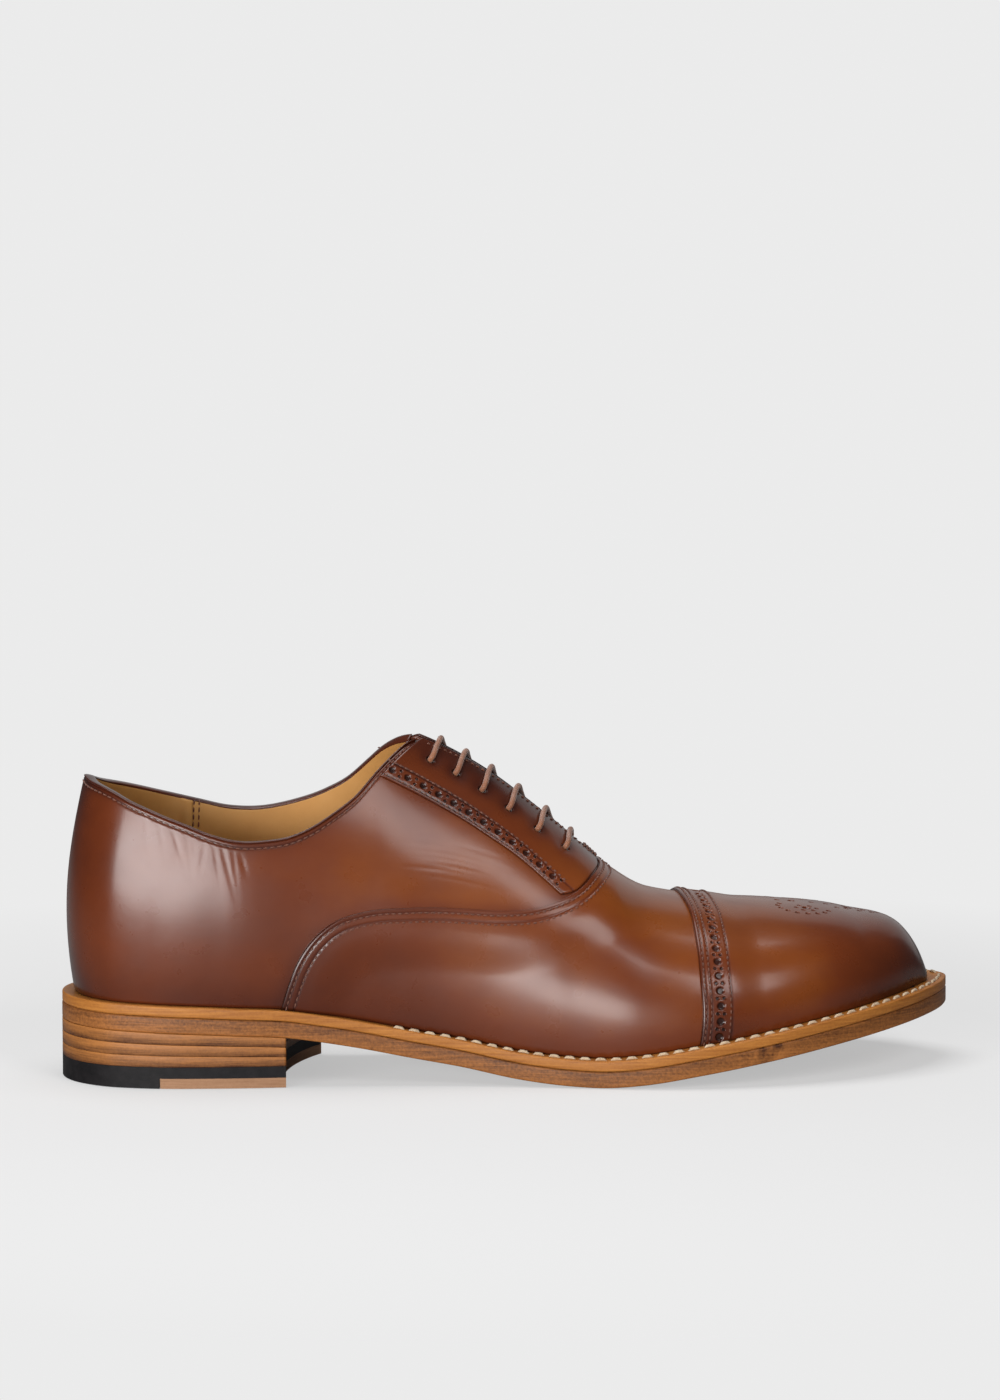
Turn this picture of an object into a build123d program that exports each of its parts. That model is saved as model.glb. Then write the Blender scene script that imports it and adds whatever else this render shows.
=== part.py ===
from build123d import *
import os
import numpy as np

# ------------------------------------------------------------------ driving dimensions (mm)
# Frame: +X to the toe, +Y to the inner (medial) side, +Z up, floor at Z = 0.
HEEL_BACK_X = -152.0
TOE_X = 152.0
TOE_Y = 7.0

# Plan outline of the sole edge, each half from the heel back to the toe tip.
SOLE_LATERAL = [
    (HEEL_BACK_X, 0), (-149.0, -14), (-139.5, -25.5), (-124, -32), (-100, -34.8), (-70, -35.2),
    (-40, -36.5), (-12, -40), (15, -46.5), (40, -51.6), (62, -52.7), (85, -49.8), (107, -42.5),
    (126, -32), (141, -17.5), (149.6, -3), (TOE_X, TOE_Y),
]
SOLE_MEDIAL = [
    (HEEL_BACK_X, 0), (-149.0, 14), (-139.5, 25.5), (-124, 31.5), (-100, 33), (-70, 30.5),
    (-40, 27.5), (-12, 30.5), (15, 38.5), (40, 47.2), (62, 52), (82, 52.7), (102, 50.2),
    (122, 43), (138, 31), (148.6, 17.5), (TOE_X, TOE_Y),
]
# Underside of the sole along X: heel seat, waist, ball on the floor, toe spring.
SOLE_BOTTOM = [
    (-156, 19.7), (-135, 19.1), (-115, 18.4), (-95, 17.5), (-80, 16.7), (-67, 14.9), (-53, 12.5),
    (-38, 9.5), (-21, 6.4), (-2, 2.4), (14, 0.5), (26, 0.0), (40, 1.1), (58, 4.0), (84, 8.4),
    (108, 12.5), (130, 16.0), (144, 17.8), (156, 19.0),
]
OUTSOLE_T = 5.5
WELT_T = 3.6
WELT_WIDTH = 15.0
# How far the upper stands in from the sole edge, along the half outline (0 heel, 1 toe).
WELT_MARGIN = [(0, 4.2), (0.08, 3.2), (0.2, 2.6), (0.4, 3.4), (0.6, 6.0), (0.8, 6.4), (1.0, 7.4)]
BED_GAP = 0.06

# Shape of the upper. s runs from the heel back (0) to the toe (1), t from welt (0) to crest (1).
# Top line of the closed shape: s, x, centre y, half width, z.
CREST = np.array([
    (0.00, -139, 0.0, 0.0, 122), (0.06, -135.5, 0.0, 9.0, 122), (0.14, -121, 0.0, 19.0, 122),
    (0.22, -98, 0.0, 23.0, 122.5), (0.30, -73, 0.0, 19.0, 123), (0.38, -48, 0.0, 10.5, 120),
    (0.45, -28, 0.2, 3.0, 113.3), (0.52, -8, 0.6, 1.0, 102), (0.60, 15, 1.5, 0.5, 83.5),
    (0.68, 38, 3.0, 0.0, 63.8), (0.76, 63, 4.5, 0.0, 56.8), (0.84, 91, 6.0, 0.0, 54.3),
    (0.91, 117, 7.0, 0.0, 51.0), (0.96, 136, 7.0, 0.0, 45.0), (1.00, 144.6, 7.0, 0.0, 28.0),
])
# Wall shape: s, rise of the wall, lean outwards, reach of the crown, droop of the crown (deg).
WALL = np.array([
    (0.00, 38, 7.5, 25, 78), (0.14, 36, 4.5, 26, 75), (0.30, 34, 4.0, 30, 68),
    (0.45, 34, 3.5, 32, 35), (0.60, 32, 3.0, 30, 10), (0.655, 31, 3.0, 30, 0),
    (0.76, 27, 3.0, 30, 0), (0.91, 21, 2.5, 24, 0), (1.00, 0, 0.0, 14, 0),
])
FOOT_SHARE = 0.93
TOE_RUN = 12.0
TOE_TURN_START = 0.90
BACK_TURN_END = 0.14
GIRTH_MM = 330.0
RISE_MM = 95.0

# Seam lines on the upper as (s, t).
SWAN_NECK = np.array([
    (0.276, 0.0), (0.283, 0.08), (0.294, 0.17), (0.308, 0.24), (0.330, 0.305), (0.365, 0.352),
    (0.412, 0.380), (0.464, 0.402), (0.510, 0.428), (0.545, 0.462), (0.575, 0.515),
    (0.607, 0.605), (0.630, 0.720), (0.647, 0.860), (0.652, 1.0),
])
CAP_SEAM = np.array([
    (0.708, 0.0), (0.713, 0.13), (0.717, 0.27), (0.727, 0.47), (0.742, 0.75), (0.747, 1.0),
])
RIM_LATERAL = np.array([
    (0.0, 0.738), (0.035, 0.727), (0.083, 0.700), (0.111, 0.667), (0.145, 0.630), (0.176, 0.597),
    (0.204, 0.565), (0.232, 0.548), (0.258, 0.550), (0.288, 0.568), (0.308, 0.598),
    (0.334, 0.653), (0.361, 0.723), (0.382, 0.800), (0.404, 0.875), (0.424, 0.940),
])
RIM_MEDIAL = np.array([
    (0.0, 0.738), (0.035, 0.727), (0.075, 0.703), (0.105, 0.685), (0.138, 0.662), (0.168, 0.640),
    (0.200, 0.617), (0.238, 0.594), (0.272, 0.595), (0.307, 0.625), (0.340, 0.672),
    (0.366, 0.730), (0.384, 0.795), (0.404, 0.875), (0.424, 0.940),
])
FACING_TOP = (0.438, 0.972)
FACING_EDGE_T = 0.975
BROGUE_LINE = np.array([(0.386, 0.790), (0.440, 0.730), (0.500, 0.672), (0.550, 0.615), (0.583, 0.553)])
LAP = 7.0
# Clear run of the vamp's front edge past the overlap, and the stretches over which laps thin out.
CAP_OVERLAP_PLAY = 2.0
VAMP_EASE = (LAP + 1.0, LAP + 8.0)
CAP_EASE = (LAP + 3.0, LAP + 9.0)

# Layers of the upper, as distance outwards from the shape (outer face, inner face).
QUARTER = (0.0, -1.4)
FACING = (1.0, 0.05)
STAY = (-1.5, -2.0)
VAMP_T = 1.2
VAMP_LAP = 1.27
CAP_T = 1.2
CAP_LAP = 1.27
CAP_MAIN = 0.25
PUFF = (-1.3, -2.3)
COUNTER = (-1.5, -2.6)
LINING = (-2.7, -3.5)
VAMP_LINING = (-3.6, -4.3)
BINDING = (0.2, -3.7)
BINDING_RISE = 0.026
BINDING_GAP_T = 0.001
BINDING_STOP_S = 0.004
SEAM_GAP = 0.0006
SURFACE_TOL = 0.03

# Gap between the front edge of the facing and the vamp.
FACING_GAP = 0.7
FACING_SET_S = 0.003
FACING_FRONT_T = (0.575, 0.895)
STAY_INSET = 1.5

# Linings and stiffeners as shares of the upper (s along, t up, girth around the forefoot).
LINING_SEAM_S = 0.190
LINING_FRONT_S = 0.52
LINING_THROAT_S = 0.64
LINING_FOOT_T = 0.012
LINING_HOLD_BACK_T = 0.02
VAMP_LINING_END = 0.970
VAMP_LINING_RISE_S = 0.145
VAMP_LINING_GIRTH = 0.985
PUFF_S = (0.735, 0.999)
PUFF_GIRTH = 0.97
COUNTER_REACH_S = 0.265
COUNTER_TOP_T = 0.52
COUNTER_FALL_T = 0.20

# Lacing.
EYELETS = [(0.448, 0.885), (0.478, 0.868), (0.508, 0.845), (0.538, 0.822), (0.571, 0.806), (0.603, 0.800)]
EYELET_D = 3.4
CUTTER_DEPTH = 7.0
LACE_D = 1.9
LACE_STEP = 0.8
LACE_RINGS = 20
EYELET_RISE = 0.6
TAIL_STEP_S = 0.012
TAIL_DROP_T = 0.045
TAIL_STEP_T = 0.010
THROAT_TUCK_S = 0.019

# Tongue.
TONGUE_EDGE_T = 0.70
TONGUE_DROP = 8.6
TONGUE_T = 1.2
TONGUE_LINING_T = 0.7
TONGUE_S = (0.432, 0.640)
TONGUE_CROWN = 0.08
TONGUE_SIDE_PLAY = 3.0
TONGUE_GLUE = 0.05
TONGUE_NARROW = 0.04

# Bottom.
INSOLE_T = 2.5
INSOLE_INSET = 4.8
SOCK_T = 1.0
RUBBER_T = 7.2
INSERT_T = 3.4
INSERT_START_X = -121.0
BREAST_LATERAL_X = -79.0
BREAST_MEDIAL_X = -62.0
BREAST_HOLLOW = 5.5
LIFT_COUNT = 3
SHANK_X = (-100.0, -2.0)
SHANK_W = 14.0
SHANK_T = 1.2
SHANK_CLEAR = 0.2
STITCH_PITCH = 5.2
STITCH = (3.9, 1.0, 0.8)
STITCH_INSET = 2.4
STITCH_LIFT = 0.12
STITCH_CLEAR = 0.9
STITCH_START_X = -44.0


# ------------------------------------------------------------------ curves and the upper shape
def smooth(xs, ys, x):
    """Smooth curve through the points (xs, ys), read at x."""
    xs = np.asarray(xs, float)
    ys = np.asarray(ys, float)
    x = np.asarray(x, float)
    run = np.diff(xs)
    grade = np.diff(ys) / run
    slope = np.empty_like(ys)
    slope[1:-1] = (grade[:-1] * run[1:] + grade[1:] * run[:-1]) / (run[:-1] + run[1:])
    slope[0] = 2 * grade[0] - slope[1]
    slope[-1] = 2 * grade[-1] - slope[-2]
    i = np.clip(np.searchsorted(xs, x, side="right") - 1, 0, len(xs) - 2)
    u = (x - xs[i]) / run[i]
    keep = (2 * u**3 - 3 * u**2 + 1) * ys[i] + (3 * u**2 - 2 * u**3) * ys[i + 1]
    lean = (u**3 - 2 * u**2 + u) * slope[i] + (u**3 - u**2) * slope[i + 1]
    return keep + lean * run[i]


def mirrored(rows, odd=()):
    """The table with its second and third rows mirrored about the first, so it is smooth there."""
    rows = np.asarray(rows, float)
    back = rows[2:0:-1].copy()
    back[:, 0] = 2 * rows[0, 0] - back[:, 0]
    for column in odd:
        back[:, column] = 2 * rows[0, column] - back[:, column]
    return np.vstack([back, rows])


def outline(side, w):
    """Plan point, direction and outward normal of the sole edge at share w of one half."""
    near = np.array(SOLE_LATERAL if side < 0 else SOLE_MEDIAL, float)
    far = np.array(SOLE_MEDIAL if side < 0 else SOLE_LATERAL, float)
    loop = np.vstack([far[2:0:-1], near, far[-2:-4:-1]])
    walk = np.concatenate([[0], np.cumsum(np.hypot(*np.diff(loop, axis=0).T))])
    start, end = walk[2], walk[1 + len(near)]

    def at(share):
        q = start + np.asarray(share, float) * (end - start)
        return np.stack([smooth(walk, loop[:, 0], q), smooth(walk, loop[:, 1], q)], -1)

    step = 1e-4
    d = at(np.asarray(w, float) + step) - at(np.asarray(w, float) - step)
    d = d / np.linalg.norm(d, axis=-1, keepdims=True)
    n = np.stack([-side * d[..., 1], side * d[..., 0]], -1)
    return at(w), d, n


def sole_bottom(x):
    rows = np.array(SOLE_BOTTOM)
    return smooth(rows[:, 0], rows[:, 1], x)


def welt_top(x):
    return sole_bottom(x) + OUTSOLE_T + WELT_T


def margin(w):
    rows = mirrored(WELT_MARGIN)
    return smooth(rows[:, 0], rows[:, 1], w)


def shape(side, s, t):
    """Point of the closed upper shape on one side (-1 lateral, +1 medial)."""
    s, t = np.broadcast_arrays(np.asarray(s, float), np.asarray(t, float))
    crest = mirrored(CREST, odd=(3,))
    wall = mirrored(WALL)
    w = s * FOOT_SHARE
    edge, d, n = outline(side, w)
    plan = edge - n * margin(w)[..., None]
    foot = np.concatenate([plan, welt_top(plan[..., :1]) + BED_GAP], -1)
    x, yc, half, z = (smooth(crest[:, 0], crest[:, k], s) for k in (1, 2, 3, 4))
    rise, lean, reach, droop = (smooth(wall[:, 0], wall[:, k], s) for k in (1, 2, 3, 4))
    top = np.stack([x, yc + side * np.maximum(half, 0), z], -1)
    turn = np.clip(s / BACK_TURN_END, 0, 1)
    turn = turn * turn * (3 - 2 * turn) * np.pi / 2
    droop = np.radians(np.maximum(droop, 0))
    crown = np.stack([-np.cos(droop) * np.cos(turn), side * np.cos(droop) * np.sin(turn), -np.sin(droop)], -1)
    run = np.clip((s - TOE_TURN_START) / (1 - TOE_TURN_START), 0, 1)[..., None] ** 2 * TOE_RUN
    a = foot + np.concatenate([n * lean[..., None] + d * run, rise[..., None]], -1)
    b = top + reach[..., None] * crown
    u = t[..., None]
    return (1 - u) ** 3 * foot + 3 * (1 - u) ** 2 * u * a + 3 * (1 - u) * u**2 * b + u**3 * top


def layer(side, s, t, out):
    """Point at distance out (outwards) from the shape."""
    s, t = np.broadcast_arrays(np.asarray(s, float), np.asarray(t, float))
    e = 1e-3
    s1 = np.clip(s, 0.0, 1 - 2 * e)
    along = shape(side, s1 + e, t) - shape(side, s1 - e, t)
    up = shape(side, s, np.minimum(t + e, 1)) - shape(side, s, np.maximum(t - e, 0))
    n = np.cross(along, up)
    n = n / np.linalg.norm(n, axis=-1, keepdims=True) * -side
    level = np.clip(t / 0.04, 0, 1)[..., None]
    flat = n * np.array([1.0, 1.0, 0.0])
    flat = flat / np.linalg.norm(flat, axis=-1, keepdims=True)
    n = flat + (n - flat) * level
    n = n / np.linalg.norm(n, axis=-1, keepdims=True)
    middle = np.clip((t - 0.9) / 0.1, 0, 1) * (CREST[10, 0] - 0.1 < s)
    n[..., 1] *= 1 - middle**3
    return shape(side, s, t) + n * np.asarray(out)[..., None]


def both(g, s, out):
    """Point at girth g: -1 lateral welt, 0 crest, +1 medial welt."""
    t = 1 - np.abs(g)
    left = layer(-1, s, t, out)
    right = layer(1, s, t, out)
    return np.where((np.asarray(g) < 0)[..., None], left, right)


def around(s, t, out):
    """Point at signed s: negative along the lateral side, positive along the medial side."""
    left = layer(-1, np.abs(s), t, out)
    right = layer(1, np.abs(s), t, out)
    return np.where((np.asarray(s) < 0)[..., None], left, right)


# ------------------------------------------------------------------ solids from point grids
def sheet(outer, inner, degree=3):
    """A closed solid between two grids of points with the same rows and columns."""
    faces = [Face.make_surface_from_array_of_points([[Vector(*p) for p in row] for row in grid.tolist()],
                                                    tol=SURFACE_TOL, min_deg=3, max_deg=degree)
             for grid in (outer, inner)]
    rims = [(grid[0, :], grid[-1, :], grid[:, 0], grid[:, -1]) for grid in (outer, inner)]

    def edge_of(face, row):
        middle = Vector(*row[len(row) // 2])
        return min(face.edges(), key=lambda e: e.distance_to(middle) + 0.5 * end_distance(e, row))

    sides = [Face.make_surface_from_curves(edge_of(faces[0], a), edge_of(faces[1], b))
             for a, b in zip(*rims)]
    solid = Solid(Shell(faces + sides))
    return solid if solid.volume > 0 else sheet(outer[::-1], inner[::-1], degree)


def end_distance(edge, row):
    """How far the ends of an edge are from the ends of a row of points."""
    a, b = Vector(*row[0]), Vector(*row[-1])
    p, q = edge @ 0, edge @ 1
    return min((p - a).length + (q - b).length, (p - b).length + (q - a).length)


def grid(rows, columns):
    return np.meshgrid(np.linspace(0, 1, rows), np.linspace(0, 1, columns), indexing="ij")


def along_line(line, q):
    """Point of a seam line at share q of its length."""
    line = np.asarray(line, float)
    step = np.diff(line, axis=0) * np.array([GIRTH_MM, RISE_MM])
    walk = np.concatenate([[0], np.cumsum(np.hypot(step[:, 0], step[:, 1]))])
    walk = walk / walk[-1]
    return np.stack([smooth(walk, line[:, 0], q), smooth(walk, line[:, 1], q)], -1)


def shifted(line, distance):
    """A seam line moved sideways by a distance in mm; positive is towards the toe and the welt."""
    q = np.linspace(0, 1, 25)
    p = along_line(line, q) * np.array([GIRTH_MM, RISE_MM])
    d = np.gradient(p, axis=0)
    d = d / np.linalg.norm(d, axis=1, keepdims=True)
    moved = p + distance * np.stack([d[:, 1], -d[:, 0]], -1)
    moved = moved / np.array([GIRTH_MM, RISE_MM])
    moved[0] = (moved[0, 0], line[0, 1])
    moved[-1] = (moved[-1, 0], line[-1, 1])
    moved[:, 1] = np.clip(moved[:, 1], line[0, 1], line[-1, 1])
    return moved


def coons(u, v, bottom, top, left, right):
    """Fill between four edges given as arrays of (s, t): bottom and top over u, left and right over v."""
    u = u[..., None]
    v = v[..., None]
    c00, c10, c01, c11 = bottom[0, 0], bottom[-1, 0], top[0, 0], top[-1, 0]
    corner = (1 - u) * (1 - v) * c00 + u * (1 - v) * c10 + (1 - u) * v * c01 + u * v * c11
    return (1 - u) * left + u * right + (1 - v) * bottom + v * top - corner


def relaxed(st, rounds=900):
    """The grid st with its inner points spread evenly, so that no grid lines cross; the edges stay."""
    p = st * np.array([GIRTH_MM, RISE_MM])
    for k in range(rounds):
        pu = 0.5 * (p[2:, 1:-1] - p[:-2, 1:-1])
        pv = 0.5 * (p[1:-1, 2:] - p[1:-1, :-2])
        even = k < rounds // 3
        a = 1.0 if even else (pv * pv).sum(-1, keepdims=True)
        b = 0.0 if even else (pu * pv).sum(-1, keepdims=True)
        c = 1.0 if even else (pu * pu).sum(-1, keepdims=True)
        cross = 0.25 * (p[2:, 2:] - p[2:, :-2] - p[:-2, 2:] + p[:-2, :-2])
        sides = a * (p[2:, 1:-1] + p[:-2, 1:-1]) + c * (p[1:-1, 2:] + p[1:-1, :-2])
        p[1:-1, 1:-1] = (sides - 2 * b * cross) / (2 * (a + c))
    return p / np.array([GIRTH_MM, RISE_MM])


# ------------------------------------------------------------------ upper pieces
def rim_rows(side):
    rows = RIM_LATERAL if side < 0 else RIM_MEDIAL
    return np.vstack([rows, FACING_TOP])


def rim_t(side, s):
    rows = mirrored(rim_rows(side))
    return smooth(rows[:, 0], rows[:, 1], s)


def top_edge(side, s):
    """Upper limit of a quarter: the rim at the back, the facing edge in front."""
    return np.where(s < FACING_TOP[0], np.minimum(rim_t(side, np.minimum(s, FACING_TOP[0])), FACING_EDGE_T),
                    FACING_EDGE_T)


def quarter(side):
    front = shifted(SWAN_NECK, LAP)
    front[:, 1] = np.minimum(front[:, 1], FACING_EDGE_T)
    u, v = grid(70, 36)
    foot = np.stack([u * front[0, 0], u * 0], -1)
    s_top = u * front[-1, 0]
    top = np.stack([s_top, top_edge(side, s_top)], -1)
    back = np.stack([SEAM_GAP + v * 0, v * rim_t(side, 0.0)], -1)
    right = along_line(front, v)
    st = relaxed(coons(u, v, foot, top, back, right))
    return sheet(*(layer(side, st[..., 0], st[..., 1], out) for out in QUARTER))


def facing_area(side, inset):
    """Grid of (s, t) of the eyelet facing, held back from its edges by an inset in mm."""
    ds = inset / GIRTH_MM
    dt = inset / RISE_MM
    u, v = grid(40, 16)
    s_low = BROGUE_LINE[0, 0] + ds + u * (BROGUE_LINE[-1, 0] - BROGUE_LINE[0, 0] - 2 * ds)
    low = np.stack([s_low, smooth(BROGUE_LINE[:, 0], BROGUE_LINE[:, 1], s_low) + dt], -1)
    reach = SWAN_NECK[-1, 0] - FACING_TOP[0] - 2 * FACING_SET_S - 2 * ds
    s_high = FACING_TOP[0] + FACING_SET_S + ds + u * reach
    high = np.stack([s_high, s_high * 0 + FACING_EDGE_T - dt], -1)
    back = low[0:1, 0:1] + (high[0:1, 0:1] - low[0:1, 0:1]) * v[..., None]
    rim = rim_t(side, np.clip(back[..., 0], 0, FACING_TOP[0]))
    back = np.stack([back[..., 0], np.minimum(back[..., 1], rim - dt)], -1)
    swan = shifted(SWAN_NECK, -FACING_GAP - inset)
    swan = swan[(swan[:, 1] > FACING_FRONT_T[0]) & (swan[:, 1] < FACING_FRONT_T[1])]
    swan = np.vstack([low[-1, 0], swan, high[-1, 0]])
    return coons(u, v, low, high, back, along_line(swan, v))


def facing(side):
    st = facing_area(side, 0.0)
    return sheet(*(layer(side, st[..., 0], st[..., 1], out) for out in FACING))


def stay(side):
    st = facing_area(side, STAY_INSET)
    return sheet(*(layer(side, st[..., 0], st[..., 1], out) for out in STAY))


def seam_distance(points, side_rows):
    """Distance of each point from a seam polyline."""
    a = side_rows[:-1]
    b = side_rows[1:]
    p = points[..., None, :]
    ab = b - a
    k = np.clip(((p - a) * ab).sum(-1) / (ab * ab).sum(-1), 0, 1)
    return np.linalg.norm(p - (a + k[..., None] * ab), axis=-1).min(-1)


def lap_offset(points, line, high, low, ease):
    """Outer offset of a lapping piece: high near the seam line, easing to low between two distances."""
    st = along_line(line, np.linspace(0, 1, 60))
    d = np.minimum.reduce([seam_distance(points, layer(side, st[:, 0], st[:, 1], 0.0)) for side in (-1, 1)])
    k = np.clip((d - ease[0]) / (ease[1] - ease[0]), 0, 1)
    return high + (low - high) * k * k * (3 - 2 * k)


def vamp():
    girth, run = grid(101, 50)
    g = 2 * girth - 1
    rear = along_line(SWAN_NECK, 1 - np.abs(g))
    front = along_line(shifted(CAP_SEAM, LAP + CAP_OVERLAP_PLAY), 1 - np.abs(g))
    st = rear + (front - rear) * run[..., None]
    g2 = np.sign(g) * (1 - st[..., 1])
    base = both(g2, st[..., 0], 0.0)
    out = lap_offset(base, SWAN_NECK, VAMP_LAP, 0.0, VAMP_EASE)
    return sheet(both(g2, st[..., 0], out), both(g2, st[..., 0], out - VAMP_T))


def toe_cap():
    girth, run = grid(61, 34)
    g = 2 * girth - 1
    rear = along_line(CAP_SEAM, 1 - np.abs(g))
    s = rear[..., 0] + (1 - rear[..., 0]) * run
    base = both(g, s, 0.0)
    out = lap_offset(base, CAP_SEAM, CAP_LAP, CAP_MAIN, CAP_EASE)
    return sheet(both(g, s, out), both(g, s, out - CAP_T))


def toe_puff():
    girth, run = grid(45, 26)
    g = 2 * girth - 1
    s = PUFF_S[0] + (PUFF_S[1] - PUFF_S[0]) * run
    return sheet(*(both(g * PUFF_GIRTH, s, out) for out in PUFF))


def vamp_lining():
    girth, run = grid(61, 24)
    g = 2 * girth - 1
    rear = LINING_FRONT_S + VAMP_LINING_RISE_S * (1 - np.abs(g)) ** 2
    s = rear + (VAMP_LINING_END - rear) * run
    return sheet(*(both(g * VAMP_LINING_GIRTH, s, out) for out in VAMP_LINING), degree=5)


def quarter_lining(side):
    u, v = grid(54, 30)
    s_low = LINING_SEAM_S + u * (LINING_FRONT_S - LINING_SEAM_S)
    low = np.stack([s_low, u * 0 + LINING_FOOT_T], -1)
    s_high = LINING_SEAM_S + u * (LINING_THROAT_S - LINING_SEAM_S)
    high = np.stack([s_high, np.minimum(top_edge(side, s_high), FACING_EDGE_T - LINING_HOLD_BACK_T)], -1)
    seam = rim_t(side, LINING_SEAM_S)
    back = np.stack([LINING_SEAM_S + v * 0, LINING_FOOT_T + v * (seam - LINING_FOOT_T)], -1)
    s_front = LINING_FRONT_S + (LINING_THROAT_S - LINING_FRONT_S) * v**2
    right = np.stack([s_front, LINING_FOOT_T + v * (high[-1, 0, 1] - LINING_FOOT_T)], -1)
    st = coons(u, v, low, high, back, right)
    return sheet(*(layer(side, st[..., 0], st[..., 1], out) for out in LINING))


def heel_lining():
    u, v = grid(61, 26)
    s = (2 * u - 1) * (LINING_SEAM_S - SEAM_GAP)
    top = np.where(s < 0, rim_t(-1, np.abs(s)), rim_t(1, np.abs(s)))
    t = LINING_FOOT_T + v * (top - LINING_FOOT_T)
    return sheet(*(around(s, t, out) for out in LINING))


def heel_counter():
    u, v = grid(61, 20)
    k = 2 * u - 1
    s = k * COUNTER_REACH_S
    top = COUNTER_TOP_T - COUNTER_FALL_T * k**2
    t = LINING_FOOT_T + v * (top - LINING_FOOT_T)
    return sheet(*(around(s, t, out) for out in COUNTER), degree=5)


def topline_binding():
    u, v = grid(101, 5)
    k = 2 * u - 1
    s = k * (FACING_TOP[0] - BINDING_STOP_S)
    foot = np.where(s < 0, rim_t(-1, np.abs(s)), rim_t(1, np.abs(s))) + BINDING_GAP_T
    t = foot + v * BINDING_RISE
    return sheet(*(around(s, t, out) for out in BINDING))


# ------------------------------------------------------------------ tongue and lace
def tongue_points(drop, narrow=0.0):
    run, across = grid(40, 25)
    s = TONGUE_S[0] + run * (TONGUE_S[1] - TONGUE_S[0])
    k = (2 * across - 1) * (1 - narrow)
    soft = np.sqrt((k**2 + TONGUE_CROWN) / (1 + TONGUE_CROWN))
    t = 1 - (1 - TONGUE_EDGE_T) * soft
    mean = 0.5 * (shape(-1, s, t) + shape(1, s, t))
    wide = 0.5 * (shape(1, s, TONGUE_EDGE_T) - shape(-1, s, TONGUE_EDGE_T))[..., 1]
    y = 0.5 * (shape(1, s, 1.0) + shape(-1, s, 1.0))[..., 1] + k * (wide - TONGUE_SIDE_PLAY)
    e = 1e-3
    rise = shape(-1, s + e, 1.0) - shape(-1, s - e, 1.0)
    slope = np.arctan2(rise[..., 2], rise[..., 0])
    x = mean[..., 0] + drop * np.sin(slope)
    return np.stack([x, y, mean[..., 2] - drop * np.cos(slope)], -1)


def tongue():
    return sheet(tongue_points(TONGUE_DROP), tongue_points(TONGUE_DROP + TONGUE_T))


def tongue_lining():
    first = TONGUE_DROP + TONGUE_T + TONGUE_GLUE
    return sheet(tongue_points(first, TONGUE_NARROW), tongue_points(first + TONGUE_LINING_T, TONGUE_NARROW))


def lace_route():
    """Centre line of the lace: slanting bars over the facings, straight runs under the linings."""
    above = FACING[0] + 0.5 * LACE_D + 0.35
    below = LINING[1] - 0.5 * LACE_D - 0.5

    def through(side, eyelet, first, last):
        s, t = eyelet
        high = EYELET_RISE if last > first else -EYELET_RISE
        return [layer(side, s, t, np.array(h)) for h in (first - high, 0.5 * (first + last), last + high)]

    def across(start, end, side, height):
        """Points between two eyelets on opposite sides, over or under the crest."""
        run = []
        for q in (0.22, 0.36, 0.5, 0.64, 0.78):
            s = start[0] + q * (end[0] - start[0])
            g = side * ((1 - start[1]) + q * (start[1] + end[1] - 2))
            pair = [layer(this, s, 1 - abs(g), np.array(height)) for this in (-1, 1)]
            run.append(0.5 * (pair[0] + pair[1]) if q == 0.5 else pair[0 if g < 0 else 1])
        return run

    first = EYELETS[0]
    points = [layer(-1, first[0] + k * TAIL_STEP_S, first[1] - TAIL_DROP_T - k * TAIL_STEP_T, np.array(below))
              for k in (5, 3, 1)]
    for near, far in zip(EYELETS[:-1], EYELETS[1:]):
        points.extend(through(-1, near, below, above))
        points.extend(across(near, far, -1, above))
        points.extend(through(1, far, above, below))
        points.extend(across(far, far, 1, below))
    last = EYELETS[-1]
    points.extend(through(-1, last, below, above))
    points.append(layer(-1, last[0] + 0.35 * THROAT_TUCK_S, 0.5 * (1 + last[1]), np.array(above)))
    tuck = [(0.7, above), (1.0, 0.2), (1.15, 0.6 * below)]
    tuck += [(1.45, below - 0.8), (2.0, below - 1.2), (2.5, below - 1.3)]
    for forward, height in tuck:
        pair = [layer(side, last[0] + forward * THROAT_TUCK_S, 1.0, np.array(height)) for side in (-1, 1)]
        points.append(0.5 * (pair[0] + pair[1]))
    return np.array(points)


def rounded(points, passes=2):
    """Corner-cut a polyline so the lace bends softly."""
    for _ in range(passes):
        a = points[:-1]
        b = points[1:]
        cut = np.empty((2 * len(a), 3))
        cut[0::2] = 0.75 * a + 0.25 * b
        cut[1::2] = 0.25 * a + 0.75 * b
        points = np.vstack([points[0], cut, points[-1]])
    return points


def lace():
    """The whole lace as one solid: lofted lengths through circles along its route, sewn together."""
    route = rounded(lace_route(), 3)
    step = np.linalg.norm(np.diff(route, axis=0), axis=1)
    walk = np.concatenate([[0], np.cumsum(step)])
    marks = np.linspace(0, walk[-1], int(walk[-1] / LACE_STEP))
    route = np.stack([np.interp(marks, walk, route[:, k]) for k in range(3)], -1)
    rings = []
    across = Vector(0, 0, 1)
    for k, point in enumerate(route):
        ahead = Vector(*(route[min(k + 1, len(route) - 1)] - route[max(k - 1, 0)])).normalized()
        across = (across - ahead * across.dot(ahead)).normalized()
        rings.append(Wire.make_circle(LACE_D / 2, Plane(origin=tuple(point), x_dir=across, z_dir=ahead)))
    skin = [make_face(rings[0]), make_face(rings[-1])]
    for start in range(0, len(rings) - 1, LACE_RINGS):
        length = Solid.make_loft(rings[start:start + LACE_RINGS + 1], True)
        skin.extend(face for face in length.faces() if face.geom_type != GeomType.PLANE)
    return Solid(Shell(skin))


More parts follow.
